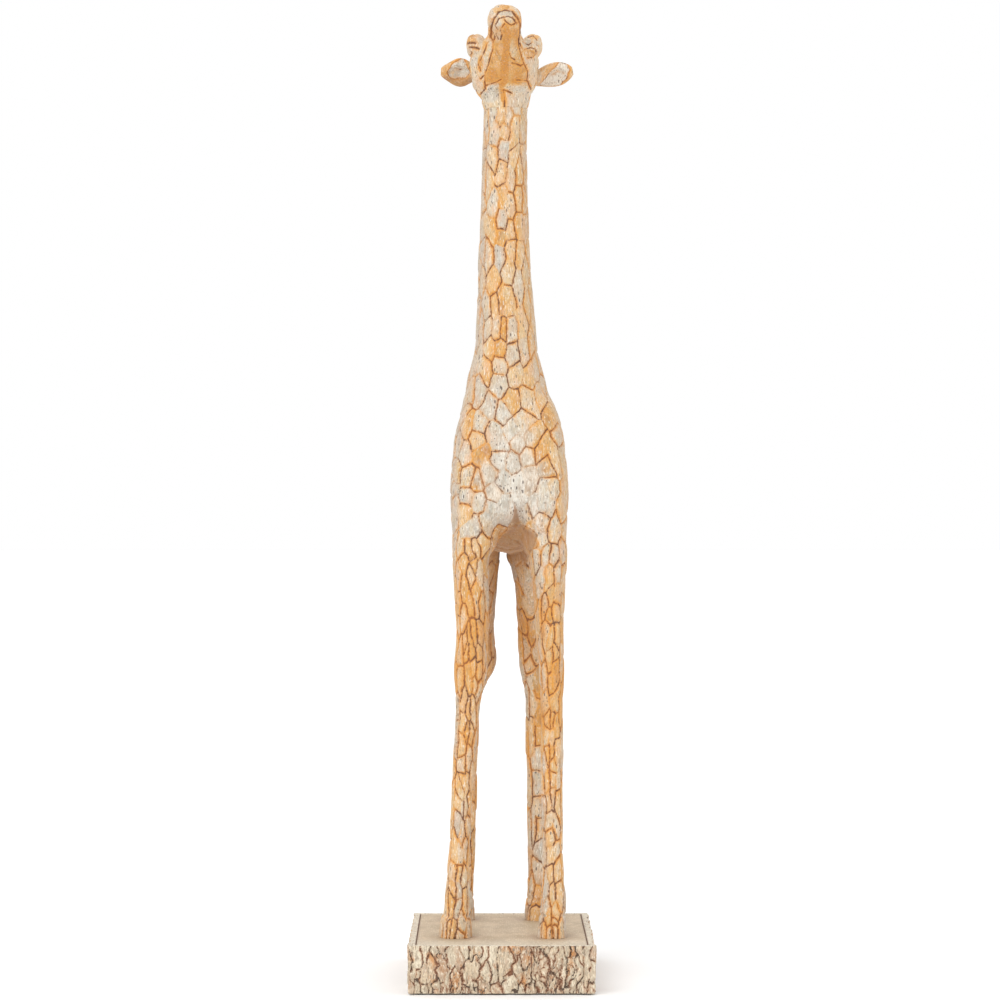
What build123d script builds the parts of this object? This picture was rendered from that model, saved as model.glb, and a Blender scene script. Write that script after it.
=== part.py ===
from build123d import *

import os
from math import cos, radians, sin

# Carved wooden giraffe statue standing on a bark-sided plinth.
#
# Millimetres, +Z up, origin at the centre of the plinth's underside. The giraffe faces -Y with its
# head raised, and "left" and "right" are the animal's own, so its left side is at +X.

# ---------------------------------------------------------------- driving dimensions
BASE_WIDTH = 190.0
BASE_DEPTH = 280.0
BASE_TOP = 50.0
FELT_THICKNESS = 1.5
FELT_INSET = 6.0
BARK_THICKNESS = 8.0
BARK_WANDER = 2.2
BARK_STEPS = 24
GLUE_GAP = 0.1

BODY_X = 8.0
LEG_JOINT_Z = 442.0
NECK_JOINT_Z = 655.0
HEAD_JOINT_Z = 906.0
HEAD_PITCH = 50.0

LEG_DOWEL = (5.0, 50.0)
NECK_DOWEL = (8.0, 80.0)
HEAD_DOWEL = (6.0, 50.0)
PEG_RADIUS = 3.0
PEG_LENGTH = 12.0
HOLE_END_GAP = 1.0

SCREW_RADIUS = 2.5
SCREW_HEAD_RADIUS = 5.0
SCREW_LENGTH = 72.0
SCREW_HEAD_Z = 10.0
COUNTERBORE_RADIUS = 6.0

# ---------------------------------------------------------------- outlines
# Barrel of the body, from the breast to the rump: (y, middle z, half width, half height).
BARREL = (
    (-95, 526, 10, 12),
    (-89, 530, 32, 40),
    (-77, 541, 49, 69),
    (-50, 545, 56.5, 90),
    (-10, 537, 57.5, 91),
    (35, 531, 56.5, 85),
    (75, 526, 54, 78),
    (103, 523, 42, 60),
    (115, 522, 26.5, 37),
    (120, 521, 9, 12),
)
# Neck, from inside the withers to the throat: (z, middle x, middle y, half width, half depth).
NECK_ROOT = (
    (576, 7.0, -30, 49, 55),
    (612, 5.5, -34, 43, 53),
    (NECK_JOINT_Z, 4.6, -38, 32, 46),
)
NECK = (
    (NECK_JOINT_Z, 4.6, -38, 32, 46),
    (690, 4.6, -39, 29.8, 41),
    (740, 3.2, -40, 26.8, 35),
    (815, 3.2, -41, 23.6, 30),
    (872, 3.4, -42, 22.3, 27.5),
    (HEAD_JOINT_Z, 4.5, -42, 22.3, 26.5),
)
THROAT = (
    (HEAD_JOINT_Z, 4.5, -42, 22.3, 26.5),
    (919, 4.0, -42, 25.0, 25.5),
    (936, 3.2, -42, 26.0, 20),
)
# Head, in its own tilted frame: (forward, upward, half width, half height).
HEAD_ORIGIN = Vector(2.9, -66, 919)
HEAD = (
    (-25, 30.5, 11.5, 9.5),
    (-19, 29.5, 24, 20),
    (-7, 28.5, 30.5, 26.5),
    (9.5, 27.5, 32, 28),
    (28.5, 25.5, 29.5, 25.5),
    (46, 21.5, 23, 21.5),
    (61, 18, 18, 18),
    (76, 16.5, 16.6, 16.5),
    (86, 16.5, 14.5, 14.3),
    (91, 17, 8.6, 8.6),
)
BROW = dict(forward=36, up=37, side=28, radius=10.5)
# Ears, each with its root, its tilt above level and its length.
EAR = {
    "ear_right": dict(forward=-3, up=45, side=25, lift=2, length=41),
    "ear_left": dict(forward=-6, up=36, side=25, lift=12.5, length=47.5),
}
# Sections of an ear from root to tip: shares of its length, half thicknesses, then half widths.
EAR_SHARES = (0, 0.2, 0.35, 0.5, 0.66, 0.83, 1)
EAR_THICKNESS = (4.5, 5, 5.5, 5.5, 5, 4, 2)
EAR_WIDTH = {
    "ear_right": (6.5, 10, 13.5, 15.2, 13.6, 9.4, 3.5),
    "ear_left": (6, 8.4, 10.6, 12.3, 12.6, 10.4, 4),
}
OSSICONE = dict(forward=8, up=53, side=12.5, lean_back=16, lean_out=8)
OSSICONE_PROFILE = ((7.2, 0), (5.4, 7.5), (4.4, 19), (6.1, 25), (5.9, 28.5), (3.5, 32), (0, 33))

# Legs, from the sole up: heights, then front and back faces in y, then inner and outer faces in x.
LEG_Z = (BASE_TOP, 62, 82, 140, 219, 288, 326, 368, 408, LEG_JOINT_Z)
FRONT_LEG_Y = (
    (-86, -46), (-84, -47), (-78, -52), (-77, -54), (-79, -53),
    (-81, -52), (-85, -49), (-86, -42), (-89, -38), (-91, -34),
)
REAR_LEG_Y = (
    (66, 104), (67, 103), (75, 100), (77, 101), (78, 104),
    (78, 108), (74, 115), (66, 112), (56, 114), (48, 116),
)
LEG_X = {
    "front_leg_right": (
        (-64.4, -30.8), (-63, -31.3), (-58.6, -33.2), (-53.8, -33.7), (-50.5, -28.8),
        (-46.8, -22.5), (-48.7, -15.2), (-46.2, -14.2), (-48.5, -13.7), (-50.2, -13.2),
    ),
    "front_leg_left": (
        (37, 67.3), (38.5, 66.3), (41.4, 65.2), (42.8, 62.8), (41, 62.8),
        (40.7, 63.2), (39, 64), (36, 63.5), (32.6, 65), (27.8, 67),
    ),
    "rear_leg_right": (
        (-58.9, -28.4), (-57.9, -28.8), (-52.2, -30.3), (-48.9, -27.6), (-47.4, -25.7),
        (-46, -22.2), (-42.7, -5.2), (-41.7, -8), (-42.7, -4.8), (-44.6, -2),
    ),
    "rear_leg_left": (
        (26, 56.5), (26.5, 55.5), (29.8, 51.7), (28.9, 50.3), (28.1, 49.8),
        (26.5, 50.8), (20.3, 52.7), (18.5, 53.6), (15.3, 55.5), (9.5, 58.4),
    ),
}
# How each leg runs on into the body above its joint: (z, inner x, outer x, front y, back y).
SHOULDER = (
    (480, 8, 59.5, -93, -24),
    (522, 12, 60, -92, -18),
    (568, 16, 50, -76, -28),
)
HAUNCH = (
    (480, 12, 59, 40, 119),
    (522, 12, 59.5, 40, 118),
    (562, 16, 49, 52, 106),
)
# Tail, from the rump to the tip of its tuft: (x, y, z, radius).
TAIL = (
    (6, 115, 560, 5.0),
    (4, 126, 543, 4.6),
    (-4, 131, 508, 4.0),
    (-14, 131, 460, 3.6),
    (-23, 129, 417, 3.6),
    (-27, 127, 388, 5.6),
    (-29, 126, 359, 7.4),
    (-30, 125, 333, 5.0),
    (-30, 124, 317, 1.6),
)

HEAD_FORWARD = Vector(0, -cos(radians(HEAD_PITCH)), sin(radians(HEAD_PITCH)))
HEAD_UP = Vector(0, sin(radians(HEAD_PITCH)), cos(radians(HEAD_PITCH)))
SIDE = {"right": -1, "left": 1}


# ---------------------------------------------------------------- shared shapes
def flat_ellipse(z, x, y, half_width, half_depth):
    """A level oval, for a loft that runs upward."""
    return Plane(origin=(x, y, z), z_dir=(0, 0, 1)) * Ellipse(half_width, half_depth)


def with_midpoints(sections):
    """Sections with one more halfway between each two, which keeps a loft from swinging wide."""
    filled = [sections[0]]
    for low, high in zip(sections, sections[1:]):
        filled += [tuple((a + b) / 2 for a, b in zip(low, high)), high]
    return filled


def upright_loft(sections):
    return loft([flat_ellipse(*section) for section in sections])


def cylinder_between(start, end, radius):
    """A round bar from one point to another."""
    start, end = Vector(*start), Vector(*end)
    along = end - start
    middle = Plane(origin=start + along / 2, z_dir=along.normalized())
    return middle * Cylinder(radius, along.length)


def upright_dowel(x, y, joint_z, size):
    """A dowel centred on a level joint, and the hole that it needs."""
    radius, length = size
    low, high = joint_z - length / 2, joint_z + length / 2
    pin = cylinder_between((x, y, low), (x, y, high), radius)
    hole_low, hole_high = low - HOLE_END_GAP, high + HOLE_END_GAP
    hole = cylinder_between((x, y, hole_low), (x, y, hole_high), radius + GLUE_GAP)
    return pin, hole


def head_point(forward, up, side=0.0):
    """A point given in the head's own frame."""
    return HEAD_ORIGIN + HEAD_FORWARD * forward + HEAD_UP * up + Vector(side, 0, 0)


def middle_of(leg, level):
    """Centre of a leg at one of its levels."""
    x_faces, y_faces = LEG_X[leg][level], leg_faces_y(leg)[level]
    return sum(x_faces) / 2, sum(y_faces) / 2


def leg_faces_y(leg):
    return FRONT_LEG_Y if leg.startswith("front") else REAR_LEG_Y


# ---------------------------------------------------------------- plinth
def bark_slab(length):
    """A slab of bark lying along X, with its glued face at y = 0 and its bark towards -Y."""
    outline = [(length / 2, 0), (-length / 2, 0)]
    for i in range(BARK_STEPS + 1):
        dent = 0.5 - 0.5 * cos(2.4 * i * i)
        x = length * (i / BARK_STEPS - 0.5)
        outline.append((x, GLUE_GAP - BARK_THICKNESS + BARK_WANDER * dent))
    face = make_face(Polyline(*outline, close=True))
    return Pos(0, 0, FELT_THICKNESS) * extrude(face, BASE_TOP - FELT_THICKNESS)


def bark_slabs():
    """Four slabs: those at the front and back run the whole width, the side ones fit between."""
    side_x = BASE_WIDTH / 2 - BARK_THICKNESS + GLUE_GAP
    end_y = BASE_DEPTH / 2 - BARK_THICKNESS + GLUE_GAP
    side_length = BASE_DEPTH - 2 * BARK_THICKNESS
    return {
        "bark_slab_front": Pos(0, -end_y, 0) * bark_slab(BASE_WIDTH),
        "bark_slab_back": Pos(0, end_y, 0) * Rot(Z=180) * bark_slab(BASE_WIDTH),
        "bark_slab_right": Pos(-side_x, 0, 0) * Rot(Z=-90) * bark_slab(side_length),
        "bark_slab_left": Pos(side_x, 0, 0) * Rot(Z=90) * bark_slab(side_length),
    }


def screw_places():
    return {leg: middle_of(leg, 0) for leg in LEG_X}


def base_block():
    """Core of the plinth, with a counterbored hole under each hoof."""
    block = Box(
        BASE_WIDTH - 2 * BARK_THICKNESS,
        BASE_DEPTH - 2 * BARK_THICKNESS,
        BASE_TOP - FELT_THICKNESS,
        align=(Align.CENTER, Align.CENTER, Align.MIN),
    )
    block = Pos(0, 0, FELT_THICKNESS) * block
    for x, y in screw_places().values():
        block -= cylinder_between((x, y, 0), (x, y, BASE_TOP + 1), SCREW_RADIUS + GLUE_GAP)
        block -= cylinder_between((x, y, 0), (x, y, SCREW_HEAD_Z), COUNTERBORE_RADIUS)
    return block


def base_felt():
    felt = Box(
        BASE_WIDTH - 2 * FELT_INSET,
        BASE_DEPTH - 2 * FELT_INSET,
        FELT_THICKNESS,
        align=(Align.CENTER, Align.CENTER, Align.MIN),
    )
    return fillet(felt.edges().filter_by(Axis.Z), 5)


def hoof_screw(x, y):
    """A countersunk wood screw that comes up through the plinth into a hoof."""
    tip_z = SCREW_HEAD_Z + SCREW_LENGTH
    cone = SCREW_HEAD_RADIUS - SCREW_RADIUS
    profile = Polyline(
        (0, SCREW_HEAD_Z - cone - 1),
        (SCREW_HEAD_RADIUS, SCREW_HEAD_Z - cone - 1),
        (SCREW_HEAD_RADIUS, SCREW_HEAD_Z - cone),
        (SCREW_RADIUS, SCREW_HEAD_Z),
        (SCREW_RADIUS, tip_z - 2 * SCREW_RADIUS),
        (0, tip_z),
        close=True,
    )
    screw = revolve(make_face(Plane.XZ * profile), Axis.Z)
    return Pos(x, y, 0) * screw


# ---------------------------------------------------------------- body
def leg(name):
    """One leg with its hoof, from the plinth to the joint under the body."""
    sections = []
    for z, x_faces, y_faces in zip(LEG_Z, LEG_X[name], leg_faces_y(name)):
        x_low, x_high = x_faces
        y_low, y_high = y_faces
        middle = ((x_low + x_high) / 2, (y_low + y_high) / 2)
        sections.append((z, *middle, (x_high - x_low) / 2, (y_high - y_low) / 2))
    shape = upright_loft(with_midpoints(sections))
    x, y = middle_of(name, 0)
    pilot_top = SCREW_HEAD_Z + SCREW_LENGTH + HOLE_END_GAP
    pilot = cylinder_between((x, y, 0), (x, y, pilot_top), SCREW_RADIUS + GLUE_GAP)
    return shape - pilot - leg_dowel(name)[1]


def leg_dowel(name):
    x, y = middle_of(name, -1)
    return upright_dowel(x, y, LEG_JOINT_Z, LEG_DOWEL)


def leg_root(name):
    """The shoulder or haunch that carries a leg's line into the barrel."""
    side = SIDE[name.rsplit("_", 1)[1]]
    x_low, x_high = LEG_X[name][-1]
    y_low, y_high = leg_faces_y(name)[-1]
    sections = [
        (LEG_JOINT_Z, (x_low + x_high) / 2, (y_low + y_high) / 2,
         (x_high - x_low) / 2, (y_high - y_low) / 2)
    ]
    for z, inner, outer, front, back in SHOULDER if name.startswith("front") else HAUNCH:
        x = BODY_X + side * (inner + outer) / 2
        sections.append((z, x, (front + back) / 2, (outer - inner) / 2, (back - front) / 2))
    return upright_loft(sections)


def torso():
    barrel = loft(
        [
            Plane(origin=(BODY_X, y, z), x_dir=(1, 0, 0), z_dir=(0, -1, 0))
            * Ellipse(half_width, half_height)
            for y, z, half_width, half_height in BARREL
        ]
    )
    shape = barrel + upright_loft(NECK_ROOT)
    for name in LEG_X:
        shape += leg_root(name)
    for name in LEG_X:
        shape -= leg_dowel(name)[1]
    return shape - neck_dowel()[1] - tail_peg(GLUE_GAP)


def neck_dowel():
    x, y = NECK[0][1:3]
    return upright_dowel(x, y, NECK_JOINT_Z, NECK_DOWEL)


def head_dowel():
    x, y = THROAT[0][1:3]
    return upright_dowel(x, y, HEAD_JOINT_Z, HEAD_DOWEL)


def neck():
    return upright_loft(NECK) - neck_dowel()[1] - head_dowel()[1]


# ---------------------------------------------------------------- head
def ossicone_frame(side):
    """Where a horn stands on the skull, and the way it points."""
    root = head_point(OSSICONE["forward"], OSSICONE["up"] - 4, side * OSSICONE["side"])
    back, out = radians(OSSICONE["lean_back"]), radians(OSSICONE["lean_out"])
    way = HEAD_UP * cos(back) - HEAD_FORWARD * sin(back) + Vector(side * sin(out), 0, 0)
    return root, way.normalized()


def ossicone(side):
    """A short horn with a knobbed end, standing on the top of the skull on a peg."""
    root, way = ossicone_frame(side)
    outline = [(0, 0), *OSSICONE_PROFILE]
    horn = revolve(make_face(Plane.XZ * Polyline(*outline, close=True)), Axis.Z)
    return Plane(origin=root, z_dir=way) * horn + ossicone_peg(side, 0.0)


def ossicone_peg(side, gap):
    root, way = ossicone_frame(side)
    return cylinder_between(root - way * PEG_LENGTH, root, PEG_RADIUS + gap)


def ear_frame(name):
    """Root of an ear, the way it points, and the way its cup faces."""
    side = SIDE[name.rsplit("_", 1)[1]]
    place = EAR[name]
    lift = radians(place["lift"])
    way = Vector(side * cos(lift), 0, sin(lift))
    root = head_point(place["forward"], place["up"], side * place["side"])
    facing = Vector(0, -0.94, -0.34)
    return root, way, facing


def ear(name):
    """A leaf-shaped ear, hollowed on the side that faces forward, on a peg."""
    root, way, facing = ear_frame(name)
    length = EAR[name]["length"]
    sections = []
    for share, half_thickness, half_width in zip(EAR_SHARES, EAR_THICKNESS, EAR_WIDTH[name]):
        across = Plane(origin=root + way * share * length, x_dir=facing, z_dir=way)
        sections.append(across * Ellipse(half_thickness, half_width))
    shape = loft(sections)
    cup = scale(Sphere(1), by=(6.0, 8.6, length * 0.3))
    cup_middle = root + way * length * 0.57 + facing * 6.2
    shape -= Plane(origin=cup_middle, x_dir=facing, z_dir=way) * cup
    return shape + ear_peg(name, 0.0)


def ear_peg(name, gap):
    root, way, _ = ear_frame(name)
    return cylinder_between(root - way * PEG_LENGTH, root + way * 2, PEG_RADIUS + gap)


def skull():
    """Head without its sockets: skull and muzzle, brows and the throat above the neck joint."""
    sections = []
    for forward, up, half_width, half_height in HEAD:
        across = Plane(origin=head_point(forward, up), x_dir=(1, 0, 0), z_dir=HEAD_FORWARD)
        sections.append(across * Ellipse(half_width, half_height))
    shape = loft(sections) + upright_loft(THROAT)
    for side in SIDE.values():
        middle = head_point(BROW["forward"], BROW["up"], side * BROW["side"])
        shape += Plane(origin=middle, z_dir=HEAD_UP) * Sphere(BROW["radius"])
    return shape


def head(fittings):
    """Head with a socket for each fitting, whose buried end it is cut back around."""
    shape = skull() - head_dowel()[1]
    for fitting in fittings:
        shape -= fitting
    for side in SIDE.values():
        shape -= ossicone_peg(side, GLUE_GAP)
    for name in EAR:
        shape -= ear_peg(name, GLUE_GAP)
    return shape


# ---------------------------------------------------------------- tail
def tail_peg(gap):
    x, y, z, _ = TAIL[0]
    return cylinder_between((x, y - PEG_LENGTH, z), (x, y + 3, z), PEG_RADIUS + gap)


def tail(body):
    """A hanging tail with a tuft, cut to the curve of the rump, on a peg."""
    path = Spline(*[point[:3] for point in TAIL])
    spans = len(TAIL) - 1
    sections = []
    for i, point in enumerate(TAIL):
        way = path % path.param_at_point(point[:3]) if 0 < i < spans else path % (i / spans)
        sections.append(Plane(origin=point[:3], z_dir=way) * Circle(point[3]))
    return loft(sections) - body + tail_peg(0.0)


# ---------------------------------------------------------------- assembly
def build():
    body = torso()
    horns = {f"ossicone_{name}": ossicone(side) for name, side in SIDE.items()}
    ears = {name: ear(name) for name in EAR}
    parts = {
        "base_block": base_block(),
        **bark_slabs(),
        "base_felt": base_felt(),
        "hoof_screws": Compound([hoof_screw(x, y) for x, y in screw_places().values()]),
        "torso": body,
        "neck": neck(),
        "head": head([*horns.values(), *ears.values()]),
        "tail": tail(body),
        "neck_dowel": neck_dowel()[0],
        "head_dowel": head_dowel()[0],
        "leg_dowels": Compound([leg_dowel(name)[0] for name in LEG_X]),
        **horns,
        **ears,
    }
    for name in LEG_X:
        parts[name] = leg(name)
    return parts


os.makedirs("parts", exist_ok=True)
for node, shape in build().items():
    export_step(shape, f"parts/{node}.step")
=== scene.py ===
"""Carved giraffe statue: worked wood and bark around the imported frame, in metres."""

from math import cos, pi, radians, sin

import bmesh
import bpy
import numpy as np
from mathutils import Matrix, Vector


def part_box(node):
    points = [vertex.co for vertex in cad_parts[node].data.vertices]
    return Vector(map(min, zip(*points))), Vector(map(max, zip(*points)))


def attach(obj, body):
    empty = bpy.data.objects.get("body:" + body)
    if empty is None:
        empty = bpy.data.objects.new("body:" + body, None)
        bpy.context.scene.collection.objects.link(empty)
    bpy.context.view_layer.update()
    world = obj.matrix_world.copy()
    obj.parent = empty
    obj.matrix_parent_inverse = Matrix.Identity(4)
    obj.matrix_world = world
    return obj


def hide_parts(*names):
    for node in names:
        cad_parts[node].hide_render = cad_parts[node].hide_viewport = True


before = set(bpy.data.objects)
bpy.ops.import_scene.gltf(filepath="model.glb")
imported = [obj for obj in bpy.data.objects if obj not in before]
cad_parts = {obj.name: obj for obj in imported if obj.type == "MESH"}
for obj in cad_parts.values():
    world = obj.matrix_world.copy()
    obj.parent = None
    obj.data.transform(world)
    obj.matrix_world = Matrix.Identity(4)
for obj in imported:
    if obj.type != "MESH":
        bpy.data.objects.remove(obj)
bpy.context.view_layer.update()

MM = 0.001
COARSE = 1.0


def corners(node):
    """Lowest and highest corner of a node, in millimetres."""
    low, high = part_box(node)
    return np.array(low) / MM, np.array(high) / MM


# ---------------------------------------------------------------- places, in millimetres
LEGS = ("front_leg_right", "front_leg_left", "rear_leg_right", "rear_leg_left")
PLINTH_TOP = corners("base_block")[1][2]
LEG_JOINT = corners("torso")[0][2]
NECK_JOINT = corners("neck")[0][2]
HEAD_JOINT = corners("neck")[1][2]
CROWN = corners("head")[1][2]
BODY_X = corners("torso")[0][0] / 2 + corners("torso")[1][0] / 2
CHEST_Y = corners("torso")[0][1]
FRONT_KNEE, REAR_KNEE = 362, 324
HOOF_RIM = 73
NOTCH_PITCH = 11  # of the mane
CHIN_STEP = 974.5
# Lines between the right and the left stumps of the torso, and between the front and the rear ones.
STUMP_SPLIT = (BODY_X - 3, 10)

# The head's own frame.
HEAD_PITCH = radians(50)
HEAD_ORIGIN = np.array((2.9, -66, HEAD_JOINT + 13))
HEAD_FORWARD = np.array((0, -cos(HEAD_PITCH), sin(HEAD_PITCH)))
HEAD_UP = np.array((0, sin(HEAD_PITCH), cos(HEAD_PITCH)))

# The camera in front, and the upright sheet at the neck on which listed places are set.
CAMERA_PLACE = np.array((-17.2, -3640.0, 500.7))
CAMERA_TURN = -0.25
CAMERA_LENS = 124.67
SENSOR_WIDTH = 36
ELEVATION_Y = -66.0

# Sizes of the faces that each skin is made of.
BODY_VOXEL = 1.1
HEAD_VOXEL = 0.8
EAR_VOXEL = 0.5
BARK_VOXEL = 0.8
BLOCK_VOXEL = 1.5
# Rounds that smooth the body and the head before they are carved, and how far the soles go down
# into the plinth while the skin is made, so that it reaches the plinth's top.
BODY_ROUNDS = 60
HEAD_ROUNDS = 12
SOLE_DROP = 5.0

# Blind holes: radius and depth of the dowel or screw, and the gap round it.
NECK_DOWEL = (8, 41)
HEAD_DOWEL = (6, 26)
LEG_DOWEL = (5, 26)
HOOF_SCREW = (2.5, 33)
HOLE_GAP = 0.15
HOLE_SIDES = 28

FAR = 12  # longest distance from an edge or line that is kept, in millimetres
FLOOR_REACH = 30  # metres


# ---------------------------------------------------------------- clay
class Clay:
    """A closed mesh whose points, in millimetres, are pushed about before it becomes pieces."""

    def __init__(self, mesh):
        self.mesh = mesh
        self.points = points_of(mesh)
        self.edges = np.empty((len(mesh.edges), 2), np.int32)
        mesh.edges.foreach_get("vertices", self.edges.reshape(-1))
        self.marks = {}

    def store(self):
        """Writes the points and marks into the mesh."""
        self.mesh.vertices.foreach_set("co", (self.points * MM).reshape(-1))
        self.mesh.update()
        for name, values in self.marks.items():
            layer = self.mesh.attributes.get(name)
            layer = layer or self.mesh.attributes.new(name, "FLOAT", "POINT")
            layer.data.foreach_set("value", np.asarray(values, np.float32))

    def mark(self, **marks):
        """Keeps marks for the material, from 0 to 1."""
        for name, values in marks.items():
            self.marks[name] = np.clip(values, 0, 1)

    def finished(self):
        """The mesh with everything stored."""
        self.store()
        return self.mesh

    def normals(self):
        self.store()
        facing = np.empty((len(self.points), 3), np.float32)
        self.mesh.vertex_normals.foreach_get("vector", facing.reshape(-1))
        return facing

    def push(self, distance):
        """Moves every point outward by its own distance."""
        self.points += self.normals() * np.asarray(distance, np.float32)[:, None]

    def relax(self, rounds, where=1.0, keep_size=True):
        """Evens the surface out. With keep_size, only what is smaller than a few edges goes."""
        size = len(self.points)
        first, second = self.edges.T
        count = np.bincount(self.edges.reshape(-1), minlength=size)
        for _ in range(rounds):
            for factor in (0.5, -0.52) if keep_size else (0.5,):
                for axis in range(3):
                    line = self.points[:, axis]
                    total = np.bincount(first, line[second], size)
                    total += np.bincount(second, line[first], size)
                    self.points[:, axis] = line + factor * where * (total / count - line)


def points_of(mesh):
    """A mesh's points, in millimetres."""
    points = np.empty((len(mesh.vertices), 3), np.float32)
    mesh.vertices.foreach_get("co", points.reshape(-1))
    return points / MM


def cad_points(node):
    return points_of(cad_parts[node].data)


def skin_of(nodes, voxel, drop=0.0):
    """Clay with an even skin of small faces round CAD nodes. Soles are let down by drop."""
    shape = bmesh.new()
    for node in nodes:
        shape.from_mesh(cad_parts[node].data)
    for vertex in shape.verts:
        if vertex.co.z < (PLINTH_TOP + 0.01) * MM:
            vertex.co.z -= drop * MM
    mesh = bpy.data.meshes.new("joined")
    shape.to_mesh(mesh)
    shape.free()
    holder = bpy.data.objects.new("holder", mesh)
    bpy.context.scene.collection.objects.link(holder)
    skin = holder.modifiers.new("skin", "REMESH")
    skin.mode = "VOXEL"
    skin.voxel_size = voxel * MM * COARSE
    graph = bpy.context.evaluated_depsgraph_get()
    result = bpy.data.meshes.new_from_object(holder.evaluated_get(graph))
    bpy.data.objects.remove(holder)
    return Clay(result)


# ---------------------------------------------------------------- noise and carving
def noise(points, size, seed):
    """Smooth random values from -1 to 1 that change over about size millimetres."""
    table = np.random.default_rng(seed).uniform(-1, 1, (32, 32, 32)).astype(np.float32)
    scaled = points / np.asarray(size, np.float32) + 512
    cell = np.floor(scaled).astype(np.int32)
    share = scaled - cell
    share = share * share * (3 - 2 * share)
    total = np.zeros(len(points), np.float32)
    for corner in np.ndindex(2, 2, 2):
        weight = np.prod(np.where(corner, share, 1 - share), axis=1)
        index = (cell + corner) % 32
        total += weight * table[index[:, 0], index[:, 1], index[:, 2]]
    return total


def drift(points, size, seed):
    """Three noises side by side, one for each axis."""
    return np.stack([noise(points, size, seed + k) for k in (0, 1, 2)], 1)


def bump(points, centre, radii):
    """1 at the centre, falling smoothly to 0 past the radii."""
    return np.exp(-(((points - np.asarray(centre)) / np.asarray(radii)) ** 2).sum(1))


def bumps(points, rows):
    """Sum of bumps, each (height, centre, radii)."""
    return sum(height * bump(points, centre, radii) for height, centre, radii in rows)


def fade(distance, width):
    """1 at no distance, falling smoothly to 0 past the width."""
    return np.exp(-((distance / width) ** 2))


def smooth_step(values, low, high):
    """0 at low, 1 at high, and smooth between them. Low can be the larger one."""
    share = np.clip((values - low) / (high - low), 0, 1)
    return share * share * (3 - 2 * share)


def away_from(points, *paths):
    """Distance from each point to the nearest of some paths of straight runs."""
    nearest = np.full(len(points), np.inf)
    for path in paths:
        path = np.asarray(path, float)
        for start, end in zip(path, path[1:]):
            run = end - start
            share = np.clip((points - start) @ run / (run @ run), 0, 1)
            gap = points - start - share[:, None] * run
            nearest = np.minimum(nearest, np.sqrt((gap * gap).sum(1)))
    return nearest


def inward(points, outline):
    """How far inside a closed outline flat points lie, and below 0 how far outside."""
    inside = np.zeros(len(points), bool)
    for (x0, z0), (x1, z1) in zip(outline, outline[1:] + outline[:1]):
        crosses = (points[:, 1] > z0) != (points[:, 1] > z1)
        share = (points[:, 1] - z0) / (z1 - z0 + 1e-9)
        inside ^= crosses & (points[:, 0] < x0 + share * (x1 - x0))
    rim = away_from(points, [*outline, outline[0]])
    return np.where(inside, rim, -rim)


def scatter(places, seed, placed=(), tightest=0.72, loosest=1.25, tries=40000):
    """Picks places at random that keep an uneven distance of about 1 from each other.

    The places in placed come first, and the others keep away from them too.
    """
    draw = np.random.default_rng(seed)
    order = draw.permutation(len(places))[:tries]
    room = draw.uniform(tightest, loosest, len(order))
    taken, chosen = {}, []
    for place in placed:
        taken.setdefault(tuple(np.floor(place / loosest).astype(int)), []).append(place)
        chosen.append(place)
    for index, own_room in zip(order, room):
        place = places[index]
        cell = tuple(np.floor(place / loosest).astype(int))
        around = []
        for step in np.ndindex(3, 3, 3):
            beside = (cell[0] + step[0] - 1, cell[1] + step[1] - 1, cell[2] + step[2] - 1)
            around += taken.get(beside, ())
        if all(((place - other) ** 2).sum() > own_room**2 for other in around):
            taken.setdefault(cell, []).append(place)
            chosen.append(place)
    return np.array(chosen)


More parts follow.
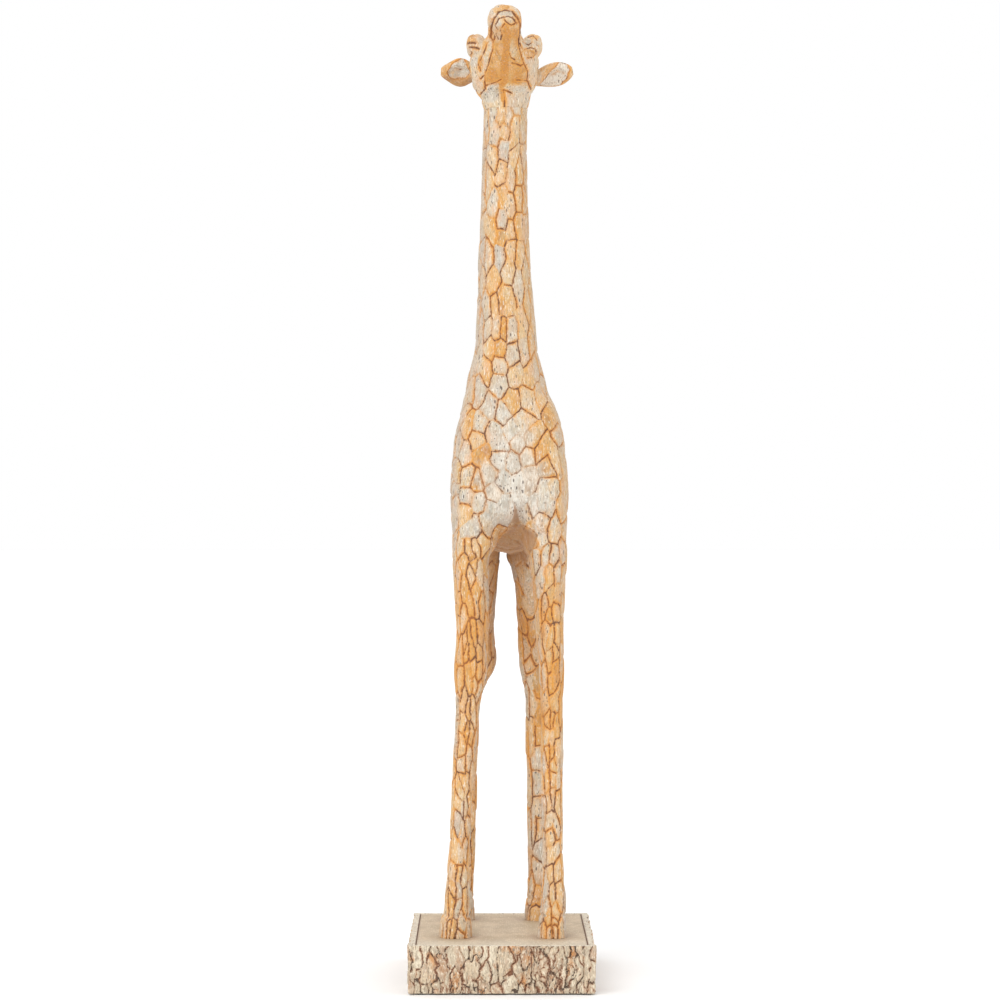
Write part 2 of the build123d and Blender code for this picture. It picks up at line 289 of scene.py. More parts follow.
def patches(places, seeds, scale, group=None):
    """Which seed each place belongs to, and how far it is from its patch's edge in millimetres.

    places and seeds are in patch units, and scale gives the millimetres in a unit along each axis.
    Edges between some pairs of patches are faint, which adds to the distance, or are left out.
    Seeds in the same group other than 0 make one patch.
    """
    reach = 3.2  # how far up and down seeds are looked for, in patch units
    faintest, left_out = 1.3, 9  # millimetres added to the distance from such an edge
    scramble = 12.9898  # gives every pair of patches its own chance of a faint edge
    rivals = 6  # patches near a place whose edges with its own are looked at
    at_once = 3000  # places worked out together
    climb = np.argsort(seeds[:, 2])
    group = np.zeros(len(seeds), int) if group is None else group
    ranked_seeds = seeds[climb]
    owner = np.empty(len(places), np.int32)
    gap = np.empty(len(places), np.float32)
    order = np.argsort(places[:, 2])
    for chunk in np.array_split(order, len(places) // at_once + 1):
        low = np.searchsorted(ranked_seeds[:, 2], places[chunk[0], 2] - reach)
        high = np.searchsorted(ranked_seeds[:, 2], places[chunk[-1], 2] + reach)
        low, high = min(low, max(high - 8, 0)), max(high, low + 8)
        near = ranked_seeds[low:high]
        offset = places[chunk][:, None, :] - near[None]
        square = (offset * offset).sum(2)
        ranked = np.argpartition(square, rivals, axis=1)[:, : rivals + 1]
        ranked = np.take_along_axis(ranked, np.argsort(np.take_along_axis(square, ranked, 1), 1), 1)
        first = ranked[:, 0]
        best = np.full(len(chunk), np.inf, np.float32)
        own = np.take_along_axis(square, first[:, None], 1)[:, 0]
        for rank in range(1, rivals + 1):
            other = ranked[:, rank]
            across = near[other] - near[first]
            length = np.sqrt((across * across).sum(1))
            in_units = (np.take_along_axis(square, other[:, None], 1)[:, 0] - own) / (2 * length)
            slope = across / length[:, None] / scale[chunk]
            distance = in_units / np.sqrt((slope * slope).sum(1))
            pair = (first + low + 1.0) * (other + low + 1.0)
            faint = np.abs(np.sin(pair * scramble)) ** 12
            faint = np.where(faint > 0.86, left_out, faintest * faint)
            own_group = group[climb[first + low]]
            faint = np.where((own_group > 0) & (own_group == group[climb[other + low]]), left_out, faint)
            best = np.minimum(best, distance + faint)
        owner[chunk] = climb[first + low]
        gap[chunk] = best
    return owner, gap


def worked(clay, places, scale, seed, depth, pillow, tilt, placed=(), tones=(), groups=(), free=None):
    """Cuts patches into the clay: grooves between them, and each one a slightly turned facet.

    placed, tones and groups are listed patches. Where free is given, others start only there.
    """
    open_places = places if free is None else places[free]
    seeds = scatter(open_places, seed, placed)
    group = np.zeros(len(seeds), int)
    group[: len(groups)] = groups
    owner, gap = patches(places, seeds, scale, group)
    draw = np.random.default_rng(seed + 1)
    tints = draw.uniform(0, 1, len(seeds))
    tints[: len(tones)] = tones
    lifts = draw.uniform(-1, 1, len(seeds))
    turns = draw.uniform(-1, 1, (len(seeds), 3))
    lean = ((places - seeds[owner]) * turns[owner]).sum(1)
    clay.marks["tint"] = tints[owner]
    clay.marks["seam"] = np.minimum(gap, FAR)
    facet = tilt * (lean + 0.5 * lifts[owner]) * smooth_step(gap, 0, 4)
    return pillow * (1 - np.exp(-gap / 3.0)) + facet - depth * fade(gap, 1.15)


def elevation(points):
    """Where points are seen from the front, in millimetres on an upright sheet at the neck."""
    share = (ELEVATION_Y - CAMERA_PLACE[1]) / (points[:, 1] - CAMERA_PLACE[1])
    seen = CAMERA_PLACE + (points - CAMERA_PLACE) * share[:, None]
    return seen[:, [0, 2]]


# ---------------------------------------------------------------- the animal below the head
# Patch sizes from the plinth up: (height, width, length).
PATCH_SIZES = (
    (PLINTH_TOP, 9.5, 26),
    (PLINTH_TOP + 40, 9, 34),
    (LEG_JOINT - 90, 9.5, 33),
    (LEG_JOINT, 11.5, 27),
    (LEG_JOINT + 70, 15, 20),
    (NECK_JOINT - 50, 15, 22),
    (NECK_JOINT + 20, 12.5, 28),
    (HEAD_JOINT, 11.5, 27),
    (CROWN, 11.5, 20),
)
# Patches listed for the front, from the throat down to the breast, on the elevation sheet:
# (across, height, tone), and a group number where patches run together. Tones run from orange-brown at 0
# through cream to grey at 1.
FRONT_PATCHES = (
    (-11, 905, 0.92, 1), (-2, 899, 0.6), (16, 913, 0.8), (9, 898, 0.78), (16, 886, 0.6, 2),
    (14, 874, 0.42, 2), (-9, 880, 0.8, 1), (1, 882, 0.5), (0, 866, 0.95), (-11, 855, 0.62),
    (16, 857, 0.5, 3), (-3, 839, 0.5), (11, 832, 0.72, 3), (21, 843, 0.38), (-15, 832, 0.36),
    (-10, 809, 0.78), (0, 818, 0.28, 4), (11, 809, 0.6, 4), (21, 813, 0.4), (-1, 790, 0.92),
    (-12, 780, 0.28), (10, 779, 0.52), (21, 786, 0.3), (-2, 774, 0.1), (-16, 756, 0.7), (-4, 756, 0.97),
    (11, 764, 0.5, 5), (22, 756, 0.38), (9, 740, 0.55, 5), (-11, 727, 0.32), (21, 722, 0.8),
    (28, 735, 0.38), (7, 708, 0.38), (-2, 708, 0.1), (-9, 705, 0.4), (-18, 700, 0.74), (29, 704, 0.28),
    (25, 687, 0.52, 6), (10, 676, 0.82), (0, 676, 0.12), (-7, 679, 0.66), (-17, 679, 0.72),
    (-15, 660, 0.26), (-3, 660, 0.14), (12, 652, 0.84), (27, 655, 0.74), (-4, 642, 0.8), (-18, 639, 0.24),
    (16, 633, 0.56, 7), (32, 632, 0.42), (-26, 614, 0.92, 8), (-5, 622, 0.86), (13, 604, 0.26),
    (30, 606, 0.6), (42, 611, 0.5), (-14, 597, 0.95), (0, 592, 0.82), (-38, 581, 0.18),
    (-24, 583, 0.88, 9), (24, 584, 0.64, 10), (-9, 573, 0.92, 11), (12, 574, 0.78, 10), (-28, 564, 0.6),
    (33, 564, 0.26), (41, 552, 0.2), (30, 549, 0.3, 12), (20, 563, 0.72), (-4, 560, 0.96, 11),
    (-24, 551, 0.06), (-40, 551, 0.84), (-3, 545, 0.95, 13), (12, 541, 0.84), (-37, 525, 0.6),
    (-26, 522, 0.16), (-15, 531, 0.42, 14), (30, 525, 0.12), (49, 537, 0.26), (59, 544, 0.4),
    (1, 522, 0.98, 13), (18, 517, 0.92, 13), (-9, 508, 0.12), (-38, 506, 0.88), (-25, 501, 0.86),
    (49, 515, 0.72, 15), (-8, 489, 0.94, 16), (5, 494, 0.97, 16), (33, 498, 0.9, 15), (18, 497, 0.97, 17),
    (46, 490, 0.84, 15), (-27, 472, 0.92, 18), (-40, 485, 0.42), (-14, 476, 0.8, 16), (-16, 455, 0.45),
    (41, 478, 0.5), (56, 465, 0.62), (40, 459, 0.78), (26, 464, 0.3), (-36, 452, 0.24), (-27, 449, 0.5),
    (-36, 468, 0.86, 18), (22, 481, 0.8, 17),
)

# The same for the fronts of the legs, from the joints down to the hooves.
LEG_PATCHES = (
    (-46, 452, 0.45), (-42, 438, 0.28), (-33, 442, 0.12), (-33, 424, 0.6), (-20, 420, 0.7),
    (-28, 431, 0.1), (-47, 420, 0.6), (-41, 408, 0.24), (-33, 393, 0.16), (-25, 394, 0.72),
    (-18, 393, 0.5), (-22, 404, 0.28), (-42, 377, 0.6), (-39, 354, 0.46), (-34, 356, 0.2),
    (-26, 361, 0.34), (-19, 357, 0.85), (-37, 341, 0.26), (-29, 341, 0.2), (-20, 340, 0.4),
    (-45, 345, 0.6), (-36, 323, 0.16), (-28, 325, 0.24), (-20, 325, 0.36), (-45, 314, 0.55),
    (-35, 306, 0.26), (-26, 305, 0.55), (-21, 302, 0.76), (-40, 291, 0.5), (-33, 285, 0.2),
    (-28, 288, 0.5), (-41, 268, 0.46), (-35, 259, 0.06), (-27, 273, 0.66), (-29, 258, 0.35),
    (-42, 247, 0.42), (-32, 232, 0.74), (-41, 222, 0.68), (-37, 210, 0.1), (-33, 208, 0.38),
    (-28, 212, 0.5), (-40, 196, 0.3), (-45, 183, 0.4), (-39, 181, 0.7), (-35, 179, 0.6), (-31, 185, 0.12),
    (-45, 165, 0.85), (-38, 156, 0.68), (-33, 161, 0.44), (-50, 140, 0.34), (-42, 134, 0.56),
    (-35, 140, 0.64), (-52, 118, 0.42), (-42, 120, 0.3), (-52, 102, 0.1), (-43, 98, 0.82), (-44, 84, 0.8),
    (-37, 109, 0.5), (-54, 84, 0.12), (-36, 90, 0.4), (-56, 61, 0.34), (-49, 60, 0.25), (-39, 64, 0.66),
    (-40, 53, 0.6), (-61, 56, 0.6), (34, 440, 0.86), (44, 443, 0.8), (57, 443, 0.8), (38, 415, 0.92),
    (51, 419, 0.4), (60, 421, 0.85), (44, 388, 0.84), (54, 400, 0.3), (60, 404, 0.6), (50, 378, 0.12),
    (58, 382, 0.36), (43, 362, 0.8), (36, 378, 0.34), (52, 356, 0.3), (59, 360, 0.34), (38, 343, 0.66),
    (48, 335, 0.42), (57, 338, 0.38), (57, 327, 0.12), (41, 316, 0.76), (49, 307, 0.22), (56, 311, 0.5),
    (44, 290, 0.7), (51, 289, 0.25), (58, 291, 0.45), (46, 273, 0.46), (52, 272, 0.3), (58, 265, 0.14),
    (45, 252, 0.62), (52, 252, 0.56), (58, 238, 0.5), (51, 237, 0.3), (45, 236, 0.18), (43, 224, 0.82),
    (55, 227, 0.2), (44, 210, 0.3), (52, 211, 0.46), (60, 212, 0.6), (47, 187, 0.4), (54, 191, 0.6),
    (60, 185, 0.28), (48, 168, 0.55), (57, 163, 0.64), (49, 152, 0.36), (57, 138, 0.55), (49, 134, 0.42),
    (49, 118, 0.38), (59, 116, 0.36), (43, 99, 0.9), (51, 96, 0.4), (60, 97, 0.34), (44, 82, 0.8),
    (58, 77, 0.4), (46, 71, 0.18), (54, 70, 0.5), (41, 58, 0.28), (50, 56, 0.62), (58, 58, 0.6),
    (64, 53, 0.5), (18, 420, 0.5), (26, 411, 0.66), (25, 386, 0.64), (28, 368, 0.7), (21, 369, 0.5),
    (29, 356, 0.1), (24, 346, 0.8), (32, 345, 0.7), (27, 329, 0.6), (29, 313, 0.8), (35, 305, 0.08),
    (31, 290, 0.66), (36, 278, 0.08), (37, 261, 0.22), (30, 263, 0.5), (36, 234, 0.76), (35, 209, 0.8),
    (37, 186, 0.66), (33, 166, 0.7), (39, 162, 0.6), (39, 138, 0.92), (35, 119, 0.66), (35, 94, 0.02),
    (33, 73, 0.2),
)

# The brown vault under the breast and the cleft above it, painted as shade, on the elevation sheet.
VAULT = [(13, 480), (20, 476), (28, 472), (36, 466), (38, 457), (36, 452), (31, 446), (27, 436),
         (8, 434), (-9, 434), (-7, 446), (-5, 456), (-2, 464), (3, 469), (9, 475)]
CLEFT = [(12.6, 499), (15.5, 493), (18, 483), (21, 476), (8, 476), (11.2, 484), (12, 490)]


def patch_units(points):
    """Points in units of the local patch size, and that size."""
    heights, widths, lengths = np.array(PATCH_SIZES).T
    steps = np.linspace(heights[0] - 20, heights[-1] + 20, 400)
    climbed = np.cumsum(1 / np.interp(steps, heights, lengths)) * (steps[1] - steps[0])
    x, y, z = points.T
    width, length = np.interp(z, heights, widths), np.interp(z, heights, lengths)
    places = np.stack((x / width, y / width, np.interp(z, steps, climbed)), 1)
    return places.astype(np.float32), np.stack((width, width, length), 1)


def leg_middle(points, leg, height):
    """Middle of a leg at a height, from the points of its skin."""
    low, high = corners(leg)
    beside = ((points > low - 3) & (points < high + 3))[:, :2].all(1)
    section = points[beside & (np.abs(points[:, 2] - height) < 4), :2]
    return (section.min(0) + section.max(0)) / 2


def body_form(points):
    """Muscles and bones under the patches, as a distance to push."""
    x, y, z = points.T
    breast = LEG_JOINT + 52
    forms = [
        (-6.5, (BODY_X + 10.5, CHEST_Y + 2, breast - 14), (4.4, 20, 15)),  # cleft of the breast
        (2.0, (BODY_X, CHEST_Y + 10, breast + 84), (30, 20, 22)),  # root of the neck
    ]
    for side in (-1, 1):
        across = BODY_X + 3 + side * 23
        forms += [
            (5.0, (across, CHEST_Y + 6, breast), (19, 22, 22)),  # breast muscle
            (-2.2, (across, CHEST_Y + 4, breast - 30), (24, 22, 7)),  # fold under it
            (1.0, (BODY_X + side * 44, -55, breast + 54), (16, 34, 40)),  # shoulder
            (0.8, (BODY_X + side * 46, 85, breast + 40), (16, 26, 40)),  # haunch
            (3.2 + side * 1.2, (1.5 + side * 9.0, 78, LEG_JOINT + 2), (5, 36, 10)),  # crotch
        ]
    rise = np.zeros(len(points))
    for leg in LEGS:
        front = leg.startswith("front")
        knee, facing = (FRONT_KNEE, -1) if front else (REAR_KNEE, 1)
        middle_x, middle_y = leg_middle(points, leg, knee)
        forms += [
            (2.4, (middle_x, middle_y + facing * 16, knee), (10, 9, 17)),  # knee or hock
            (-1.0, (middle_x, middle_y + facing * 14, knee - 34), (11, 10, 16)),  # hollow below it
            (1.2, (*leg_middle(points, leg, 84), 92), (24, 30, 9)),  # fetlock
        ]
        middle_x, middle_y = leg_middle(points, leg, 58)
        cloven = fade(x - middle_x, 1.6) * (y < middle_y)
        rise -= 2.2 * cloven * bump(points, (middle_x, middle_y - 20, 56), (12, 18, 22))
        rise -= 1.5 * fade(z - HOOF_RIM, 1.6) * bump(points, (middle_x, middle_y, HOOF_RIM), (26, 26, 4))
    mane = fade(x - 4.0, 5.0) * ((y > -40) & (z > NECK_JOINT - 30))
    notches = 0.75 + 0.25 * np.cos((z + 0.4 * y) * 2 * pi / NOTCH_PITCH)
    rise += 4.0 * mane * notches * smooth_step(z, NECK_JOINT - 30, NECK_JOINT)
    return rise + bumps(points, forms)


def side_facing(facing):
    """Where the skin faces sideways."""
    return smooth_step(np.abs(facing[:, 0]), 0.62, 0.95)


def low_on_shanks(z):
    """0 down to the shanks, and 1 low on them."""
    return smooth_step(z, 290, 170)


def body_stains_and_painted_shade(clay, facing):
    """Marks the whitewash, the orange stain and the brown shade.

    Gives where the brown vault and cleft of painted shade are, and how far the vault's upper edge is.
    """
    points = clay.points
    x, y, z = points.T
    sheet = elevation(points)
    breast = LEG_JOINT + 60
    blotch = noise(points, 22, 51) + 0.6 * noise(points, 9, 52)
    wavy = 1.2 * noise(points, 5, 56)
    forward = smooth_step(facing[:, 1], 0.3, -0.1)
    turned = smooth_step(facing[:, 1], 0.2, -0.05)
    thighs = smooth_step(z, LEG_JOINT, LEG_JOINT - 60)
    above = smooth_step(z, LEG_JOINT, LEG_JOINT + 34)
    flank = side_facing(facing) * (1 - 0.5 * thighs)

    wash = 0.8 * bump(points, (BODY_X + 2, CHEST_Y, breast + 20), (36, 70, 66)) + 0.10 + 0.24 * blotch
    orange = 0.25 + 0.55 * noise(points, (14, 14, 46), 53) + 0.3 * thighs - 0.22 * low_on_shanks(z)
    orange -= 0.5 * bump(points, (BODY_X + 3, CHEST_Y, breast), (40, 60, 60))
    clay.mark(wash=wash, orange=orange)
    # Less orange on skin turned sideways, as part of the painted edge shading.
    clay.marks["orange"] *= 1 - 0.75 * flank * above

    into_vault = inward(sheet, VAULT) + wavy
    vault = smooth_step(into_vault, -1.5, 3.0) * forward
    cleft = smooth_step(inward(sheet, CLEFT) + 0.4 * wavy, -0.8, 1.4) * forward
    under = smooth_step(-facing[:, 2], 0.2, 0.75) * smooth_step(z, LEG_JOINT - 60, LEG_JOINT)
    behind = smooth_step(y, -70, -50) * (np.abs(x - BODY_X + 4) < 24) * smooth_step(z, 395, 450)
    behind *= 1 - smooth_step(z, LEG_JOINT + 20, LEG_JOINT + 60)
    sheltered = smooth_step(y, 20, 50) * smooth_step(z, 290, 340) * smooth_step(z, 450, 430) * forward
    # Painted shade: under the body, behind the front legs, in the vault and cleft, on the flanks and on the
    # insides of the rear legs.
    shade = np.max((
        0.4 * under,
        0.75 * behind,
        (0.72 + 0.25 * above) * vault,
        0.95 * cleft,
        0.25 * flank * turned,
        np.where(x < BODY_X, 0.5, 0.16) * sheltered,
    ), 0)
    clay.mark(shade=shade + 0.15 * blotch * np.maximum(under, vault))
    rim = np.abs(into_vault) * 1.1 + 0.5
    rim += FAR * ((sheet[:, 1] < 450) | (forward < 0.3) | (cleft > 0.2))
    return np.maximum(vault, cleft), rim


def frontmost(points, sheet, spot):
    """Nearest point of the skin that is seen at a spot of the elevation sheet."""
    beside = np.flatnonzero(np.abs(sheet - spot).max(1) < 2.5)
    return points[beside[np.argmin(points[beside, 1])]]


def animal():
    """The whole figure below the head in one skin, carved and marked."""
    solids = ("torso", "neck", "head", "neck_dowel", "head_dowel", "leg_dowels", "hoof_screws", *LEGS)
    clay = skin_of(solids, BODY_VOXEL, SOLE_DROP)
    x, y, z = clay.points.T
    body = smooth_step(z, LEG_JOINT - 40, LEG_JOINT + 10)
    body *= 1 - smooth_step(z, NECK_JOINT - 20, NECK_JOINT + 60)
    clay.relax(3)
    clay.relax(int(BODY_ROUNDS / COARSE**2), body, keep_size=False)
    clay.push(body_form(clay.points))
    clay.relax(4)

    facing = clay.normals().copy()
    brown, vault_rim = body_stains_and_painted_shade(clay, facing)
    sheet = elevation(clay.points)
    by_hand = FRONT_PATCHES + LEG_PATCHES
    spots = np.array([frontmost(clay.points, sheet, patch[:2]) for patch in by_hand])
    places, scale = patch_units(
        clay.points + (1.6 * drift(clay.points, 11, 11) + 0.45 * drift(clay.points, 3.4, 17))
    )
    set_by_hand = (facing[:, 1] < -0.42) & (z < HEAD_JOINT + 12)
    set_by_hand &= (z > LEG_JOINT + 8) | (y < -30) | (x > BODY_X)
    rise = worked(
        clay, places, scale, 21, depth=1.2, pillow=0.8, tilt=0.75,
        placed=patch_units(spots)[0],
        tones=[patch[2] for patch in by_hand],
        groups=[patch[3] if len(patch) > 3 else 0 for patch in by_hand],
        free=~set_by_hand,
    )

    # Skin turned sideways, most of all above the legs, gets painted edge shading: a greyer tint on the
    # left, a pinker one on the right, and fainter lines.
    flank = side_facing(facing) * smooth_step(facing[:, 1], 0.2, -0.05)
    flank *= 0.35 + 0.65 * smooth_step(z, LEG_JOINT - 20, LEG_JOINT + 20)
    tint, seam = clay.marks["tint"], clay.marks["seam"]
    tint += 0.14 * low_on_shanks(z)
    tint += (np.where(facing[:, 0] < 0, 0.92, 0.66) - tint) * 0.8 * flank
    # In the painted shade of the vault and cleft the tint goes middling and the lines fade.
    tint += (0.4 - tint) * brown
    seam += 0.25 * flank + 1.6 * brown + 0.7 * smooth_step(z, HEAD_JOINT - 46, HEAD_JOINT - 8)
    clay.marks["seam"] = np.minimum(seam, vault_rim)
    rise += 0.16 * noise(clay.points, (1.6, 1.6, 7), 31) + 0.35 * noise(clay.points, (7, 7, 14), 32)
    clay.push(rise)
    return clay.finished()


# ---------------------------------------------------------------- head
NOSTRIL = ((82, 7, 31), (86, 9, 27))  # in the head's own frame
# Knife lines on the head, on the elevation sheet: (across, height).
MOUTH = ((-11, 980), (-11, 988), (-9, 996), (-3.5, 1004), (4, 1007), (11, 1004.5),
         (16.5, 998.5), (19.5, 992), (19.5, 982))
CHIN_LINES = (
    ((-6, 992), (-3, 997.5), (2, 999.5)),
    ((2, 999), (7, 1000.5), (12, 998), (15.5, 993)),
    ((2, 999), (4, 995), (7.5, 992), (10.5, 990.5), (15, 993)),
    ((-0.5, 987.5), (3, 992)),
    ((-7, 990), (-4.5, 986), (-6, 981), (-3.5, 976)),
    ((-9.5, 984), (-7, 979), (-8.5, 974)),
    ((-1, 986), (0.5, 981), (-1, 976)),
)
JAWS = (
    ((-12, 979.5), (-9, 974), (-9, 966), (-11, 960.5), (-14, 949.5), (-17, 941), (-17.5, 931.5),
     (-17, 925), (-21.5, 919.5)),
    ((19.5, 982), (18, 977), (18, 969), (20.5, 960), (23, 952), (27.5, 942), (26.5, 934),
     (30.5, 924.5)),
)
JAW_BRANCHES = (
    ((10.5, 951.5), (15.5, 950.5), (20, 948.8), (23, 950.5)),
    ((14.5, 934), (26.5, 933.5)),
    ((-17, 928), (-5, 932), (0, 935)),
    ((1.5, 924), (3, 918), (3, 906)),
    ((2, 924), (11.5, 920)),
    ((-15, 972.5), (-19, 961.5), (-24.5, 950), (-22, 944)),
    ((-22, 935), (-18, 939)),
    ((19, 972), (22, 966)),
    ((8, 962), (10, 957), (14, 955)),
)
EYE_SLITS = (
    ((-36, 971.8), (-32, 973), (-27, 972.4)),
    ((-33, 967.8), (-28, 967.6), (-24, 966.6)),
)
EYE_LINES = (
    ((-37, 974), (-37.5, 966), (-36, 959)),
    ((-34, 966), (-31, 962), (-33, 957)),
    ((21, 963), (24.5, 966), (30, 967.6), (35, 966), (36, 961.5), (32, 957.5), (26, 957)),
    ((27, 978.5), (32.5, 980.2), (37, 975)),
    ((22, 973.5), (28, 970.5), (32, 974), (38, 969)),
)
# Tones of the head's front: (across, height, half width, half height, tone).
HEAD_TONES = (
    (3, 1009, 5, 4, 0.12), (-5, 1006, 4, 3, 0.36), (-11, 998, 4, 7, 0.74), (15, 1005, 6, 4, 0.8),
    (18, 990, 3, 8, 0.66), (4, 1003, 8, 2.2, 0.98), (-6, 999, 3, 3, 0.92), (8, 996, 5, 3.5, 0.6),
    (-4.5, 985, 5.5, 11, 0.97), (13, 985, 5.5, 6, 0.4), (12, 966, 4, 9, 0.6), (-32, 978, 7, 4.5, 0.12),
    (-32, 970, 6, 1.6, 0.74), (-24, 973, 3.5, 6, 0.8), (-31, 963, 5, 4, 0.84), (-28, 953, 6, 5, 0.94),
    (-21.5, 952, 3, 7, 0.12), (-17.5, 967, 2.4, 8, 0.18), (-14, 962, 1.8, 14, 0.66),
    (33, 979, 6, 2.5, 0.36), (30, 972, 8, 3.6, 0.9), (29, 961.5, 5.5, 3.8, 0.16), (27, 952, 5, 5, 0.7),
    (-8, 926, 7, 6, 1.0), (-12, 917, 8, 6, 0.96), (19, 921, 8, 7, 0.86), (24, 934, 3, 8, 0.7),
    (-24, 930, 5, 10, 0.66), (10, 914, 5, 7, 0.7),
)
# The orange stripe from the throat to the chin: its middle and its half width by height.
STRIPE_MIDDLE = ((910, 926, 934, 957, 969, 990), (3, 0, 2.5, 3.7, 5.3, 3.8))
STRIPE_WIDTH = ((920, 945, 969, 981, 991), (3.6, 4.6, 3.2, 4.2, 3.0))


def head_space(points):
    """Points as (forward, side, up) in the head's own frame."""
    offset = points - HEAD_ORIGIN
    return np.stack((offset @ HEAD_FORWARD, offset[:, 0], offset @ HEAD_UP), 1)


def head_form(clay):
    """Brows, eyes, cheeks, lips and jaws, as a distance to push."""
    at = head_space(clay.points)
    forward, _, up = at.T
    forms = [
        (3.0, (28, 0, 53), (20, 9, 8)),  # forehead
        (1.0, (78, 0, 0), (10, 11, 6)),  # chin
    ]
    for side in (-1, 1):
        forms += [
            (1.8, (33, side * 26, 48), (12, 11, 6)),  # brow
            (4.2, (24, side * 31, 28), (13, 9, 9)),  # eye
            (2.0, (2, side * 30, 18), (18, 10, 14)),  # cheek
            (-1.6, (60, side * 19, 22), (14, 6, 8)),  # hollow before the eye
            (1.5, (82, side * 12, 26), (9, 7, 7)),  # nostril
            (-1.2, (34, side * 14, 2), (22, 5, 7)),  # inside of the jaw
        ]
    lip = np.interp(forward, (50, 57, 76, 86, 92), (14, 11, 10.5, 12, 16))
    rise = bumps(at, forms) + 0.8 - 1.7 * smooth_step(lip - up, 0, 1.2) * smooth_step(forward, 53, 58)
    rise -= 0.8 * smooth_step(forward, 96, 50)
    brows = [(1.8, (HEAD_ORIGIN[0] + side * 34, -58, 979), (7, 10, 5)) for side in (-1, 1)]
    across, height = elevation(clay.points).T
    step = fade(height - CHIN_STEP, 2.0) * (np.abs(across + 3) < 5)
    return rise + bumps(clay.points, brows) + 1.2 * step * (clay.normals()[:, 1] < 0)


def head():
    """The head in a finer skin, with its mouth, lids, jaw lines and nostrils."""
    clay = skin_of(("head", "neck", "head_dowel"), HEAD_VOXEL)
    upper = smooth_step(clay.points[:, 2], HEAD_JOINT - 30, HEAD_JOINT + 10)
    clay.relax(3)
    clay.relax(int(HEAD_ROUNDS / COARSE**2), upper, keep_size=False)
    clay.push(head_form(clay))
    clay.relax(2)

    at = head_space(clay.points)
    sheet = elevation(clay.points)
    across, height = sheet.T
    facing = clay.normals().copy()
    seen = smooth_step(-facing[:, 1] - 0.12 * facing[:, 2], 0.0, 0.22)
    fine = away_from(sheet, *JAWS, *JAW_BRANCHES, *CHIN_LINES)
    fine = np.minimum(fine, away_from(sheet, *EYE_LINES) + 0.3) * 1.2 + 0.6 * noise(at, 5, 17) + 0.1
    mouth = away_from(sheet, MOUTH)
    slit = away_from(sheet, *EYE_SLITS)
    nostril = away_from(at, *[[(f, side * s, u) for f, s, u in NOSTRIL] for side in (1, -1)])
    lines = 0.9 * fade(fine, 0.95) + 1.2 * fade(mouth, 1.1) + 1.7 * fade(slit, 1.1)
    clay.push(-lines * seen - 3.0 * fade(nostril, 2.0))

    scale = np.tile((12.0, 12.0, 15.0), (len(at), 1))
    places = (at + 2.0 * drift(at, 9, 14))[:, [1, 2, 0]] / scale
    rise = worked(clay, places.astype(np.float32), scale, 24, depth=0.75, pillow=0.6, tilt=0.4)
    front = smooth_step(-facing[:, 1], 0.05, 0.35)

    jaw_right, jaw_left = [np.interp(height, *np.array(jaw)[::-1, ::-1].T) for jaw in JAWS]
    inside = smooth_step(across - jaw_right, -1.0, 1.0) * smooth_step(jaw_left - across, -1.0, 1.0)
    inside *= smooth_step(height, 926, 933) * smooth_step(height, 1000, 985)
    tone = np.full(len(at), 0.72) + 0.12 * noise(at, 6, 57)
    tone += (0.17 + 0.16 * noise(at, 3.5, 58) - tone) * inside
    for middle, level, half_width, half_height, own in HEAD_TONES:
        reach = ((across - middle) / half_width) ** 2 + ((height - level) / half_height) ** 2
        tone += (own - tone) * smooth_step(reach, 1.5, 0.7)
    off_stripe = (across - np.interp(height, *STRIPE_MIDDLE)) / np.interp(height, *STRIPE_WIDTH)
    stripe = np.exp(-(off_stripe**4)) * (height < 992)
    stripe *= front * (0.8 + 0.5 * noise(at, 8, 59)).clip(0, 1)
    tone += (0.1 - tone) * 0.8 * stripe

    seam = np.where(seen > 0.3, np.minimum(fine, np.minimum(mouth * 0.9, slit * 0.75)), FAR)
    seam = np.minimum(seam, nostril * 0.6)
    seam = np.minimum(seam, np.where(front < 0.5, clay.marks["seam"], FAR))
    clay.marks["seam"] = np.clip(seam, 0, FAR)
    blotch = noise(at, 12, 55)
    tint = clay.marks["tint"]
    clay.mark(
        tint=tint + (tone - tint) * front,
        wash=0.12 + 0.25 * blotch - 0.6 * inside,
        orange=0.22 + 0.3 * blotch + 0.6 * inside + 0.9 * stripe,
        shade=0.6 * fade(slit, 1.2) * seen,
    )
    clay.push(rise * (1 - front) + 0.12 * noise(at, (6, 1.4, 1.4), 33))
    return clay.finished()


# ---------------------------------------------------------------- cutting the skin into pieces
def slab_of(mesh, low, high, box=None):
    """The part of a skin between two levels, and within a box where one is given."""
    points = points_of(mesh)
    wanted = (points[:, 2] > low - 4) & (points[:, 2] < high + 4)
    if box is not None:
        wanted &= ((points > box[0]) & (points < box[1])).all(1)
    shape = bmesh.new()
    shape.from_mesh(mesh)
    shape.verts.ensure_lookup_table()
    unwanted = [shape.verts[i] for i in np.flatnonzero(~wanted)]
    bmesh.ops.delete(shape, geom=unwanted, context="VERTS")
    return shape


def cut_level(shape, level, upward):
    """Cuts the shape off at a level and gives the edges round the opening."""
    cut = bmesh.ops.bisect_plane(
        shape, geom=[*shape.verts, *shape.edges, *shape.faces],
        plane_co=(0, 0, level * MM), plane_no=(0, 0, 1), clear_outer=upward, clear_inner=not upward,
    )
    return [edge for edge in cut["geom_cut"] if isinstance(edge, bmesh.types.BMEdge) and edge.is_boundary]


